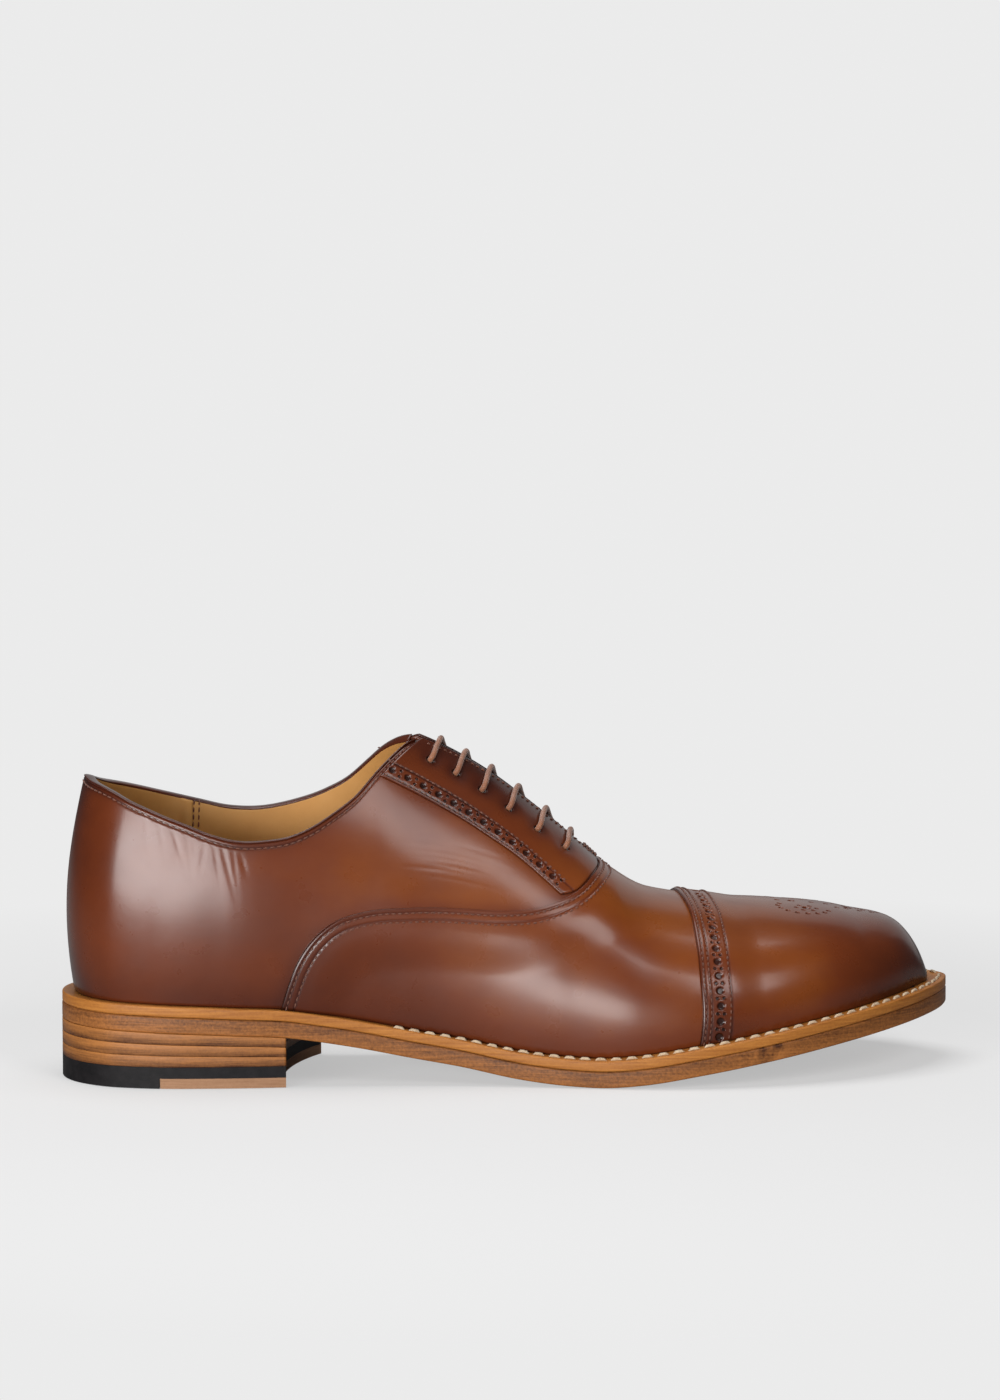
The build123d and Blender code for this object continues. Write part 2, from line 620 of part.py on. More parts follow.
# ------------------------------------------------------------------ bottom pieces
def plan_loop(inset_at):
    """Closed plan loop inside the sole edge; inset_at gives the inset for share w."""
    loop = []
    for side, start, end in ((-1, 0.0, 1.0), (1, 1.0, 0.0)):
        w = np.linspace(start, end, 46)[:-1]
        p, _, n = outline(side, w)
        loop.extend(p - n * inset_at(w)[:, None])
    return loop


def plan_prism(loop, low, high):
    wire = Spline(*[Vector(x, y, low) for x, y in loop], periodic=True)
    return extrude(make_face(Wire([wire.edge()])), amount=high - low, dir=(0, 0, 1))


def slab(low, high, x0=-160.0, x1=160.0, half=70.0):
    """Solid between two height curves over X, wide in Y."""
    xs = np.linspace(x0, x1, 41)
    bottom = Spline(*[Vector(x, -half, low(x)) for x in xs]).edge()
    top = Spline(*[Vector(x, -half, high(x)) for x in xs]).edge()
    ends = [Edge.make_line(bottom @ k, top @ k) for k in (0, 1)]
    return extrude(make_face(Wire([bottom, ends[1], top, ends[0]])), amount=2 * half, dir=(0, 1, 0))


def outsole():
    body = plan_prism(plan_loop(lambda w: 0 * w), -5, 40)
    return body & slab(sole_bottom, lambda x: sole_bottom(x) + OUTSOLE_T)


def welt():
    ring = plan_prism(plan_loop(lambda w: 0 * w), -5, 50)
    ring = ring - plan_prism(plan_loop(lambda w: WELT_WIDTH + 0 * w), -6, 51)
    return ring & slab(lambda x: sole_bottom(x) + OUTSOLE_T, welt_top)


def shank():
    mid = 0.5 * (WELT_T - SHANK_T)
    bed = OUTSOLE_T + mid
    strip = slab(lambda x: sole_bottom(x) + bed, lambda x: sole_bottom(x) + bed + SHANK_T)
    window = Pos(0.5 * (SHANK_X[0] + SHANK_X[1]), 0, 15) * Box(SHANK_X[1] - SHANK_X[0], SHANK_W, 60)
    return strip & window


def cork_filler():
    core = plan_prism(plan_loop(lambda w: WELT_WIDTH + 0.3 + 0 * w), -5, 50)
    core = core & slab(lambda x: sole_bottom(x) + OUTSOLE_T + 0.02, lambda x: welt_top(x) - 0.02)
    mid = 0.5 * (WELT_T - SHANK_T)
    low = lambda x: sole_bottom(x) + OUTSOLE_T + mid - SHANK_CLEAR
    pocket = slab(low, lambda x: low(x) + SHANK_T + 2 * SHANK_CLEAR)
    size = SHANK_X[1] - SHANK_X[0] + 2 * SHANK_CLEAR
    pocket = pocket & (Pos(0.5 * (SHANK_X[0] + SHANK_X[1]), 0, 15) * Box(size, SHANK_W + 2 * SHANK_CLEAR, 60))
    return core - pocket


def inner_board(inset, low, high, x0=-160.0):
    body = plan_prism(plan_loop(lambda w: margin(w) + inset), -5, 60)
    return body & slab(lambda x: welt_top(x) + low, lambda x: welt_top(x) + high, x0=x0)


def insole():
    return inner_board(INSOLE_INSET, 0.02, INSOLE_T)


def sock_liner():
    return inner_board(INSOLE_INSET + 0.3, INSOLE_T + 0.04, INSOLE_T + SOCK_T)


def heel_prism(inset=0.0):
    """Heel plan: the back of the sole outline closed by a hollow, slanted breast."""
    loop = []
    for side, stop in ((-1, BREAST_LATERAL_X), (1, BREAST_MEDIAL_X)):
        w = np.linspace(0, 0.5, 400)
        p, _, n = outline(side, w)
        p = p - n * inset
        p = p[p[:, 0] < stop][::18]
        y_stop = np.interp(stop, (outline(side, w)[0])[:, 0], (outline(side, w)[0])[:, 1])
        half = np.vstack([p, (stop, y_stop - side * inset)])
        loop.append(half)
    points = np.vstack([loop[0][::-1], loop[1][1:]])
    back = Spline(*[Vector(x, y, -1) for x, y in points]).edge()
    a, b = back @ 0, back @ 1
    across = (b - a).normalized()
    middle = (a + b) * 0.5 + Vector(-across.Y, across.X, 0) * BREAST_HOLLOW
    breast = ThreePointArc(b, middle, a).edge()
    return extrude(make_face(Wire([back, breast])), amount=32, dir=(0, 0, 1))


def heel_lift(number):
    """One wedge-shaped lift; number 0 is the lowest."""
    def level(k):
        return lambda x: RUBBER_T + (sole_bottom(x) - RUBBER_T) * k / LIFT_COUNT
    return heel_prism() & slab(level(number), level(number + 1))


def top_piece_rubber():
    full = heel_prism() & (Pos(0, 0, RUBBER_T / 2) * Box(400, 200, RUBBER_T))
    notch = Pos(INSERT_START_X + 100, 0, INSERT_T / 2 - 0.5) * Box(200, 200, INSERT_T + 1)
    return full - notch


def top_piece_leather():
    full = heel_prism(0.2) & (Pos(0, 0, INSERT_T / 2) * Box(400, 200, INSERT_T))
    keep = Pos(INSERT_START_X + 100.15, 0, 5) * Box(200, 200, 20)
    return full & keep


def welt_stitching():
    """Stitches of the welt seam, each its own solid lying on the welt."""
    stitches = []
    length, width, height = STITCH
    for side in (-1, 1):
        w = np.linspace(0, 1, 3000)
        p, d, n = outline(side, w)
        p = p - n * np.minimum(STITCH_INSET, margin(w) - VAMP_LAP - STITCH_CLEAR)[:, None]
        walk = np.concatenate([[0], np.cumsum(np.hypot(*np.diff(p, axis=0).T))])
        start = walk[np.argmax(p[:, 0] > STITCH_START_X)]
        count = int((walk[-1] - start) / STITCH_PITCH)
        for k in range(count):
            i = int(np.searchsorted(walk, start + (k + 0.5) * STITCH_PITCH))
            x, y = p[i]
            slope = (welt_top(x + 1) - welt_top(x - 1)) / 2
            direction = Vector(d[i, 0], d[i, 1], slope * d[i, 0]).normalized()
            up = Vector(-slope, 0, 1)
            up = (up - direction * up.dot(direction)).normalized()
            place = Plane(origin=(x, y, welt_top(x) + STITCH_LIFT), x_dir=direction, z_dir=up)
            stitches.append((place * Pos(0, 0, height / 2) * Box(length, width, height)).solid())
    return Compound(children=stitches)


def eyelet_cutters(side, deep):
    """Rods through the facing layers at each eyelet."""
    rods = []
    for s, t in EYELETS:
        a = Vector(*layer(side, np.array(s), np.array(t), np.array(-deep)).tolist())
        b = Vector(*layer(side, np.array(s), np.array(t), np.array(deep)).tolist())
        long = (b - a).length
        rods.append(Plane(origin=a, z_dir=b - a) * Pos(0, 0, long / 2) * Cylinder(EYELET_D / 2, long))
    return rods


def punched(body, side):
    for rod in eyelet_cutters(side, -CUTTER_DEPTH):
        body = body - rod
    return body


def build():
    parts = {
        "outsole": outsole(),
        "welt": welt(),
        "shank": shank(),
        "cork_filler": cork_filler(),
        "insole": insole(),
        "sock_liner": sock_liner(),
        "top_piece_rubber": top_piece_rubber(),
        "top_piece_leather": top_piece_leather(),
        "welt_stitching": welt_stitching(),
        "vamp": vamp(),
        "toe_cap": toe_cap(),
        "toe_puff": toe_puff(),
        "vamp_lining": vamp_lining(),
        "heel_lining": heel_lining(),
        "heel_counter": heel_counter(),
        "topline_binding": topline_binding(),
        "tongue": tongue(),
        "tongue_lining": tongue_lining(),
        "lace": lace(),
    }
    for number in range(LIFT_COUNT):
        parts[f"heel_lift_{number + 1}"] = heel_lift(number)
    for side, name in ((-1, "lateral"), (1, "medial")):
        parts[f"quarter_{name}"] = punched(quarter(side), side)
        parts[f"facing_{name}"] = punched(facing(side), side)
        parts[f"facing_stay_{name}"] = punched(stay(side), side)
        parts[f"quarter_lining_{name}"] = punched(quarter_lining(side), side)
    return parts


os.makedirs("parts", exist_ok=True)
for node, body in build().items():
    export_step(body, f"parts/{node}.step")
    print(node, round(body.volume / 1000, 2), "cm3")
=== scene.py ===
import bmesh
import bpy
import numpy as np
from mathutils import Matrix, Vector

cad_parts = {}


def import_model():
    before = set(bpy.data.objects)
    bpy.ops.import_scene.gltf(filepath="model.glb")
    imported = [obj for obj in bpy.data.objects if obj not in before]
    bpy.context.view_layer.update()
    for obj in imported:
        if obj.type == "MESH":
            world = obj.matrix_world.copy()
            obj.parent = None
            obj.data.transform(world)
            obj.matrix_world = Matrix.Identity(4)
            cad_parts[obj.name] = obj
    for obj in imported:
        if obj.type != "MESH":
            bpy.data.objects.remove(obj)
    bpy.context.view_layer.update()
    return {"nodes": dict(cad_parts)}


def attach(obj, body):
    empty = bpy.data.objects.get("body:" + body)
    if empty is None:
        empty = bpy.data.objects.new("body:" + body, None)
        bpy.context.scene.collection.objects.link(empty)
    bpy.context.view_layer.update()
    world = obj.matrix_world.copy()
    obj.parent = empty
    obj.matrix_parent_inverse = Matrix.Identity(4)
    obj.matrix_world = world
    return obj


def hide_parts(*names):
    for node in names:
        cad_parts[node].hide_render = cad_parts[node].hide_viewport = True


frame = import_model()

# ------------------------------------------------------------------ shoe dimensions (mm), as in the CAD
MM = 0.001
HEEL_BACK_X = -152.0
TOE_X = 152.0
TOE_Y = 7.0

# Plan outline of the sole edge, each half from the heel back to the toe tip.
SOLE_LATERAL = [
    (HEEL_BACK_X, 0), (-149.0, -14), (-139.5, -25.5), (-124, -32), (-100, -34.8), (-70, -35.2),
    (-40, -36.5), (-12, -40), (15, -46.5), (40, -51.6), (62, -52.7), (85, -49.8), (107, -42.5),
    (126, -32), (141, -17.5), (149.6, -3), (TOE_X, TOE_Y),
]
SOLE_MEDIAL = [
    (HEEL_BACK_X, 0), (-149.0, 14), (-139.5, 25.5), (-124, 31.5), (-100, 33), (-70, 30.5),
    (-40, 27.5), (-12, 30.5), (15, 38.5), (40, 47.2), (62, 52), (82, 52.7), (102, 50.2),
    (122, 43), (138, 31), (148.6, 17.5), (TOE_X, TOE_Y),
]
# Underside of the sole along X: heel seat, waist, ball on the floor, toe spring.
SOLE_BOTTOM = [
    (-156, 19.7), (-135, 19.1), (-115, 18.4), (-95, 17.5), (-80, 16.7), (-67, 14.9), (-53, 12.5),
    (-38, 9.5), (-21, 6.4), (-2, 2.4), (14, 0.5), (26, 0.0), (40, 1.1), (58, 4.0), (84, 8.4),
    (108, 12.5), (130, 16.0), (144, 17.8), (156, 19.0),
]
OUTSOLE_T = 5.5
WELT_T = 3.6
# How far the upper stands in from the sole edge, along the half outline (0 heel, 1 toe).
WELT_MARGIN = [(0, 4.2), (0.08, 3.2), (0.2, 2.6), (0.4, 3.4), (0.6, 6.0), (0.8, 6.4), (1.0, 7.4)]
BED_GAP = 0.06

# Shape of the upper. s runs from the heel back (0) to the toe (1), t from welt (0) to crest (1).
# Top line of the closed shape: s, x, centre y, half width, z.
CREST = np.array([
    (0.00, -139, 0.0, 0.0, 122), (0.06, -135.5, 0.0, 9.0, 122), (0.14, -121, 0.0, 19.0, 122),
    (0.22, -98, 0.0, 23.0, 122.5), (0.30, -73, 0.0, 19.0, 123), (0.38, -48, 0.0, 10.5, 120),
    (0.45, -28, 0.2, 3.0, 113.3), (0.52, -8, 0.6, 1.0, 102), (0.60, 15, 1.5, 0.5, 83.5),
    (0.68, 38, 3.0, 0.0, 63.8), (0.76, 63, 4.5, 0.0, 56.8), (0.84, 91, 6.0, 0.0, 54.3),
    (0.91, 117, 7.0, 0.0, 51.0), (0.96, 136, 7.0, 0.0, 45.0), (1.00, 144.6, 7.0, 0.0, 28.0),
])
# Wall shape: s, rise of the wall, lean outwards, reach of the crown, droop of the crown (deg).
WALL = np.array([
    (0.00, 38, 7.5, 25, 78), (0.14, 36, 4.5, 26, 75), (0.30, 34, 4.0, 30, 68),
    (0.45, 34, 3.5, 32, 35), (0.60, 32, 3.0, 30, 10), (0.655, 31, 3.0, 30, 0),
    (0.76, 27, 3.0, 30, 0), (0.91, 21, 2.5, 24, 0), (1.00, 0, 0.0, 14, 0),
])
FOOT_SHARE = 0.93
TOE_RUN = 12.0
TOE_TURN_START = 0.90
BACK_TURN_END = 0.14
# Below this height walls stand upright; above and ahead of these, they lie straight across the crest.
FLAT_FOOT_T = 0.04
MIDDLE_T = 0.9
MIDDLE_START_S = CREST[10, 0] - 0.1
GIRTH_MM = 330.0
RISE_MM = 95.0
SPAN = np.array([GIRTH_MM, RISE_MM])

# Seam lines on the upper as (s, t).
SWAN_NECK = np.array([
    (0.276, 0.0), (0.283, 0.08), (0.294, 0.17), (0.308, 0.24), (0.330, 0.305), (0.365, 0.352),
    (0.412, 0.380), (0.464, 0.402), (0.510, 0.428), (0.545, 0.462), (0.575, 0.515),
    (0.607, 0.605), (0.630, 0.720), (0.647, 0.860), (0.652, 1.0),
])
CAP_SEAM = np.array([
    (0.708, 0.0), (0.713, 0.13), (0.717, 0.27), (0.727, 0.47), (0.742, 0.75), (0.747, 1.0),
])
RIM_LATERAL = np.array([
    (0.0, 0.738), (0.035, 0.727), (0.083, 0.700), (0.111, 0.667), (0.145, 0.630), (0.176, 0.597),
    (0.204, 0.565), (0.232, 0.548), (0.258, 0.550), (0.288, 0.568), (0.308, 0.598),
    (0.334, 0.653), (0.361, 0.723), (0.382, 0.800), (0.404, 0.875), (0.424, 0.940),
])
RIM_MEDIAL = np.array([
    (0.0, 0.738), (0.035, 0.727), (0.075, 0.703), (0.105, 0.685), (0.138, 0.662), (0.168, 0.640),
    (0.200, 0.617), (0.238, 0.594), (0.272, 0.595), (0.307, 0.625), (0.340, 0.672),
    (0.366, 0.730), (0.384, 0.795), (0.404, 0.875), (0.424, 0.940),
])
FACING_TOP = (0.438, 0.972)
FACING_EDGE_T = 0.975
BROGUE_LINE = np.array([(0.386, 0.790), (0.440, 0.730), (0.500, 0.672), (0.550, 0.615), (0.583, 0.553)])
LAP = 7.0

# Layers of the upper, as distance outwards from the shape (outer face, inner face).
QUARTER = (0.0, -1.4)
FACING = (1.0, 0.05)
VAMP_T = 1.2
VAMP_LAP = 1.27
CAP_T = 1.2
CAP_LAP = 1.27
CAP_MAIN = 0.25
LINING = (-2.7, -3.5)
VAMP_LINING = (-3.6, -4.3)
BINDING = (0.2, -3.7)
BINDING_GAP_T = 0.001
BINDING_STOP_S = 0.004
SEAM_GAP = 0.0006

# Gap between the front edge of the facing and the vamp, and the heights between which it holds.
FACING_GAP = 0.45
FACING_SET_S = 0.003
FACING_FRONT_T = (0.575, 0.895)

# Linings as shares of the upper (s along, t up, girth around the forefoot).
LINING_SEAM_S = 0.190
LINING_FRONT_S = 0.52
LINING_THROAT_S = 0.64
LINING_FOOT_T = 0.012
LINING_HOLD_BACK_T = 0.02
VAMP_LINING_END = 0.970
VAMP_LINING_RISE_S = 0.145
VAMP_LINING_GIRTH = 0.985

# Lacing.
EYELETS = [(0.448, 0.885), (0.478, 0.868), (0.508, 0.845), (0.538, 0.822), (0.571, 0.806), (0.603, 0.800)]
EYE_DIMPLE_R = 3.4
EYE_HOLE_R = 1.35
EYE_SINK = 0.35
LACE_D = 1.9
EYELET_RISE = 0.6
TAIL_STEP_S = 0.012
TAIL_DROP_T = 0.045
TAIL_STEP_T = 0.010
THROAT_TUCK_S = 0.019

# Tongue.
TONGUE_EDGE_T = 0.70
TONGUE_DROP = 8.6
TONGUE_T = 1.2
TONGUE_LINING_T = 0.7
TONGUE_S = (0.432, 0.640)
TONGUE_CROWN = 0.08
TONGUE_SIDE_PLAY = 3.0
TONGUE_GLUE = 0.05
TONGUE_NARROW = 0.04

# Bottom.
RUBBER_T = 7.2
BREAST_LATERAL_X = -79.0
BREAST_MEDIAL_X = -62.0
BREAST_HOLLOW = 5.5
LIFT_COUNT = 3
STITCH_PITCH = 5.2
STITCH_INSET = 2.4
STITCH_CLEAR = 0.9
STITCH_START_X = -44.0


# ------------------------------------------------------------------ curves and the upper shape
def smooth(xs, ys, x):
    """Smooth curve through the points (xs, ys), read at x."""
    xs = np.asarray(xs, float)
    ys = np.asarray(ys, float)
    x = np.asarray(x, float)
    run = np.diff(xs)
    grade = np.diff(ys) / run
    slope = np.empty_like(ys)
    slope[1:-1] = (grade[:-1] * run[1:] + grade[1:] * run[:-1]) / (run[:-1] + run[1:])
    slope[0] = 2 * grade[0] - slope[1]
    slope[-1] = 2 * grade[-1] - slope[-2]
    i = np.clip(np.searchsorted(xs, x, side="right") - 1, 0, len(xs) - 2)
    u = (x - xs[i]) / run[i]
    keep = (2 * u**3 - 3 * u**2 + 1) * ys[i] + (3 * u**2 - 2 * u**3) * ys[i + 1]
    lean = (u**3 - 2 * u**2 + u) * slope[i] + (u**3 - u**2) * slope[i + 1]
    return keep + lean * run[i]


def unit(v):
    return v / np.linalg.norm(v, axis=-1, keepdims=True)


def eased(k):
    """Smooth step from 0 to 1 as k goes from 0 to 1."""
    k = np.clip(k, 0, 1)
    return k * k * (3 - 2 * k)


def walked(points):
    """Distance walked along a row of points, at each of them."""
    return np.concatenate([[0], np.cumsum(np.linalg.norm(np.diff(points, axis=0), axis=1))])


def mirrored(rows, odd=()):
    """The table with its second and third rows mirrored about the first, so it is smooth there."""
    rows = np.asarray(rows, float)
    back = rows[2:0:-1].copy()
    back[:, 0] = 2 * rows[0, 0] - back[:, 0]
    for column in odd:
        back[:, column] = 2 * rows[0, column] - back[:, column]
    return np.vstack([back, rows])


def outline(side, w):
    """Plan point, direction and outward normal of the sole edge at share w of one half."""
    near = np.array(SOLE_LATERAL if side < 0 else SOLE_MEDIAL, float)
    far = np.array(SOLE_MEDIAL if side < 0 else SOLE_LATERAL, float)
    loop = np.vstack([far[2:0:-1], near, far[-2:-4:-1]])
    walk = walked(loop)
    start, end = walk[2], walk[1 + len(near)]

    def at(share):
        q = start + np.asarray(share, float) * (end - start)
        return np.stack([smooth(walk, loop[:, 0], q), smooth(walk, loop[:, 1], q)], -1)

    step = 1e-4
    d = unit(at(np.asarray(w, float) + step) - at(np.asarray(w, float) - step))
    n = np.stack([-side * d[..., 1], side * d[..., 0]], -1)
    return at(w), d, n


def sole_bottom(x):
    rows = np.array(SOLE_BOTTOM)
    return smooth(rows[:, 0], rows[:, 1], x)


def welt_top(x):
    return sole_bottom(x) + OUTSOLE_T + WELT_T


def margin(w):
    rows = mirrored(WELT_MARGIN)
    return smooth(rows[:, 0], rows[:, 1], w)


def shape(side, s, t):
    """Point of the closed upper shape on one side (-1 lateral, +1 medial)."""
    s, t = np.broadcast_arrays(np.asarray(s, float), np.asarray(t, float))
    crest = mirrored(CREST, odd=(3,))
    wall = mirrored(WALL)
    w = s * FOOT_SHARE
    edge, d, n = outline(side, w)
    plan = edge - n * margin(w)[..., None]
    foot = np.concatenate([plan, welt_top(plan[..., :1]) + BED_GAP], -1)
    x, yc, half, z = (smooth(crest[:, 0], crest[:, k], s) for k in (1, 2, 3, 4))
    rise, lean, reach, droop = (smooth(wall[:, 0], wall[:, k], s) for k in (1, 2, 3, 4))
    top = np.stack([x, yc + side * np.maximum(half, 0), z], -1)
    turn = eased(s / BACK_TURN_END) * np.pi / 2
    droop = np.radians(np.maximum(droop, 0))
    crown = np.stack([-np.cos(droop) * np.cos(turn), side * np.cos(droop) * np.sin(turn), -np.sin(droop)], -1)
    run = np.clip((s - TOE_TURN_START) / (1 - TOE_TURN_START), 0, 1)[..., None] ** 2 * TOE_RUN
    a = foot + np.concatenate([n * lean[..., None] + d * run, rise[..., None]], -1)
    b = top + reach[..., None] * crown
    u = t[..., None]
    return (1 - u) ** 3 * foot + 3 * (1 - u) ** 2 * u * a + 3 * (1 - u) * u**2 * b + u**3 * top


def layer(side, s, t, out):
    """Point at distance out (outwards) from the shape."""
    s, t = np.broadcast_arrays(np.asarray(s, float), np.asarray(t, float))
    e = 1e-3
    s1 = np.clip(s, 0.0, 1 - 2 * e)
    along = shape(side, s1 + e, t) - shape(side, s1 - e, t)
    up = shape(side, s, np.minimum(t + e, 1)) - shape(side, s, np.maximum(t - e, 0))
    n = unit(np.cross(along, up)) * -side
    level = np.clip(t / FLAT_FOOT_T, 0, 1)[..., None]
    flat = unit(n * np.array([1.0, 1.0, 0.0]))
    n = unit(flat + (n - flat) * level)
    middle = np.clip((t - MIDDLE_T) / (1 - MIDDLE_T), 0, 1) * (MIDDLE_START_S < s)
    n[..., 1] *= 1 - middle**3
    return shape(side, s, t) + n * np.asarray(out)[..., None]


def on_side(side, st, out):
    """Points at rows of (s, t) and one distance out."""
    return layer(side, st[:, 0], st[:, 1], np.full(len(st), out))


def both(g, s, out):
    """Point at girth g: -1 lateral welt, 0 crest, +1 medial welt."""
    t = 1 - np.abs(g)
    left = layer(-1, s, t, out)
    right = layer(1, s, t, out)
    return np.where((np.asarray(g) < 0)[..., None], left, right)


def around(s, t, out):
    """Point at signed s: negative along the lateral side, positive along the medial side."""
    left = layer(-1, np.abs(s), t, out)
    right = layer(1, np.abs(s), t, out)
    return np.where((np.asarray(s) < 0)[..., None], left, right)


# ------------------------------------------------------------------ seam lines
def grid(rows, columns):
    return np.meshgrid(np.linspace(0, 1, rows), np.linspace(0, 1, columns), indexing="ij")


def along_line(line, q):
    """Point of a seam line at share q of its length."""
    line = np.asarray(line, float)
    walk = walked(line * SPAN)
    walk = walk / walk[-1]
    return np.stack([smooth(walk, line[:, 0], q), smooth(walk, line[:, 1], q)], -1)


def beside(line, distance, count=60):
    """A seam line moved sideways by a distance in mm, with nothing held at its ends."""
    p = along_line(line, np.linspace(0, 1, count)) * SPAN
    d = unit(np.gradient(p, axis=0))
    return (p + distance * np.stack([d[:, 1], -d[:, 0]], -1)) / SPAN


def shifted(line, distance):
    """A seam line moved sideways by a distance in mm; positive is towards the toe and the welt."""
    moved = beside(line, distance, 25)
    moved[0] = (moved[0, 0], line[0, 1])
    moved[-1] = (moved[-1, 0], line[-1, 1])
    moved[:, 1] = np.clip(moved[:, 1], line[0, 1], line[-1, 1])
    return moved


def coons(u, v, bottom, top, left, right):
    """Fill between four edges given as arrays of (s, t): bottom and top over u, left and right over v."""
    u = u[..., None]
    v = v[..., None]
    c00, c10, c01, c11 = bottom[0, 0], bottom[-1, 0], top[0, 0], top[-1, 0]
    corner = (1 - u) * (1 - v) * c00 + u * (1 - v) * c10 + (1 - u) * v * c01 + u * v * c11
    return (1 - u) * left + u * right + (1 - v) * bottom + v * top - corner


def relaxed(st, rounds=900):
    """The grid st with its inner points spread evenly, so that no grid lines cross; the edges stay."""
    p = st * SPAN
    for k in range(rounds):
        pu = 0.5 * (p[2:, 1:-1] - p[:-2, 1:-1])
        pv = 0.5 * (p[1:-1, 2:] - p[1:-1, :-2])
        even = k < rounds // 3
        a = 1.0 if even else (pv * pv).sum(-1, keepdims=True)
        b = 0.0 if even else (pu * pv).sum(-1, keepdims=True)
        c = 1.0 if even else (pu * pu).sum(-1, keepdims=True)
        cross = 0.25 * (p[2:, 2:] - p[2:, :-2] - p[:-2, 2:] + p[:-2, :-2])
        sides = a * (p[2:, 1:-1] + p[:-2, 1:-1]) + c * (p[1:-1, 2:] + p[1:-1, :-2])
        p[1:-1, 1:-1] = (sides - 2 * b * cross) / (2 * (a + c))
    return p / SPAN


def rim_rows(side):
    rows = RIM_LATERAL if side < 0 else RIM_MEDIAL
    return np.vstack([rows, FACING_TOP])


def rim_t(side, s):
    rows = mirrored(rim_rows(side))
    return smooth(rows[:, 0], rows[:, 1], s)


def rim_around(s):
    """Rim height at signed s: negative along the lateral side, positive along the medial side."""
    return np.where(s < 0, rim_t(-1, np.abs(s)), rim_t(1, np.abs(s)))


def top_edge(side, s):
    """Upper limit of a quarter: the rim at the back, the facing edge in front."""
    return np.where(s < FACING_TOP[0], np.minimum(rim_t(side, np.minimum(s, FACING_TOP[0])), FACING_EDGE_T),
                    FACING_EDGE_T)


def seam_distance(points, side_rows):
    """Distance of each point from a seam polyline."""
    a = side_rows[:-1]
    b = side_rows[1:]
    p = points[..., None, :]
    ab = b - a
    k = np.clip(((p - a) * ab).sum(-1) / (ab * ab).sum(-1), 0, 1)
    return np.linalg.norm(p - (a + k[..., None] * ab), axis=-1).min(-1)


# ------------------------------------------------------------------ Blender helpers
def soft_noise(points, scale, seed):
    """Cheap smooth noise in -1..1 from a few sine waves."""
    rng = np.random.default_rng(seed)
    value = 0.0
    for _ in range(7):
        k = rng.normal(size=3) / scale
        value = value + np.sin(points @ k + rng.uniform(0, 6.28))
    return value / 3.5


def ridge(x, middle, width):
    """Bell curve of height 1."""
    return np.exp(-(((x - middle) / width) ** 2))


def grooves(distance, rows, height, width):
    """Sum of the ridges of stitch rows at these distances from a seam."""
    return sum(height * ridge(distance, row, width) for row in rows)


def make_object(name, verts, faces, material, body="shoe", tone=None):
    mesh = bpy.data.meshes.new(name)
    mesh.from_pydata((np.asarray(verts) * MM).tolist(), [],
                     faces if isinstance(faces, list) else faces.tolist())
    if tone is not None:
        layer_ = mesh.attributes.new("tone", "FLOAT", "POINT")
        layer_.data.foreach_set("value", np.asarray(tone, dtype=np.float32).ravel())
    mesh.validate()
    mesh.polygons.foreach_set("use_smooth", [True] * len(mesh.polygons))
    mesh.materials.append(material)
    obj = bpy.data.objects.new(name, mesh)
    bpy.context.scene.collection.objects.link(obj)
    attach(obj, body)
    return obj


def grid_faces(rows, columns, start=0, flip=False):
    i, j = np.meshgrid(np.arange(rows - 1), np.arange(columns - 1), indexing="ij")
    a = (start + i * columns + j).ravel()
    quads = np.stack([a, a + 1, a + 1 + columns, a + columns], -1)
    return quads[:, ::-1] if flip else quads


def tube_faces(rings, sides, start=0):
    """Faces round a row of rings of points, then the two end faces."""
    faces = []
    for k in range(rings - 1):
        row = start + k * sides
        for a in range(sides):
            c = (a + 1) % sides
            faces.append((row + a, row + c, row + sides + c, row + sides + a))
    last = start + (rings - 1) * sides
    faces.append(tuple(start + a for a in range(sides))[::-1])
    faces.append(tuple(last + a for a in range(sides)))
    return faces


def thick_mesh(outer, inner):
    """Vertices and faces of a closed sheet between two grids of points."""
    rows, columns = outer.shape[:2]
    count = rows * columns
    verts = np.vstack([outer.reshape(-1, 3), inner.reshape(-1, 3)])
    index = np.arange(count).reshape(rows, columns)
    ring = np.concatenate([index[0, :-1], index[:-1, -1], index[-1, :0:-1], index[:0:-1, 0]])
    after = np.roll(ring, -1)
    rim = np.stack([ring, ring + count, after + count, after], -1)
    faces = np.vstack([grid_faces(rows, columns), grid_faces(rows, columns, count, True), rim])
    return verts, faces


def fix_normals(obj, near=1e-6):
    """Join points that lie on each other and turn all faces outwards."""
    bm = bmesh.new()
    bm.from_mesh(obj.data)
    bmesh.ops.remove_doubles(bm, verts=bm.verts, dist=near)
    if near > 1e-6:
        bmesh.ops.dissolve_degenerate(bm, edges=bm.edges, dist=1e-6)
    bmesh.ops.recalc_face_normals(bm, faces=bm.faces)
    bm.to_mesh(obj.data)
    bm.free()


def leather_piece(name, place, out, thickness, tone, material, edge=0.30):
    """A leather piece from place(out) -> points; its cut edge is eased by an edge drop in mm."""
    rows, columns = out.shape
    i = np.minimum(np.arange(rows), np.arange(rows)[::-1])[:, None]
    j = np.minimum(np.arange(columns), np.arange(columns)[::-1])[None, :]
    ring = np.minimum(i, j)
    drop = edge * np.where(ring == 0, 1.0, np.where(ring == 1, 0.35, 0.0))
    verts, faces = thick_mesh(place(out - drop), place(out - thickness))
    both_tones = np.concatenate([tone.ravel() + 0.25 * (ring.ravel() == 0), tone.ravel()])
    obj = make_object(name, verts, faces, material, tone=both_tones)
    fix_normals(obj)
    return obj


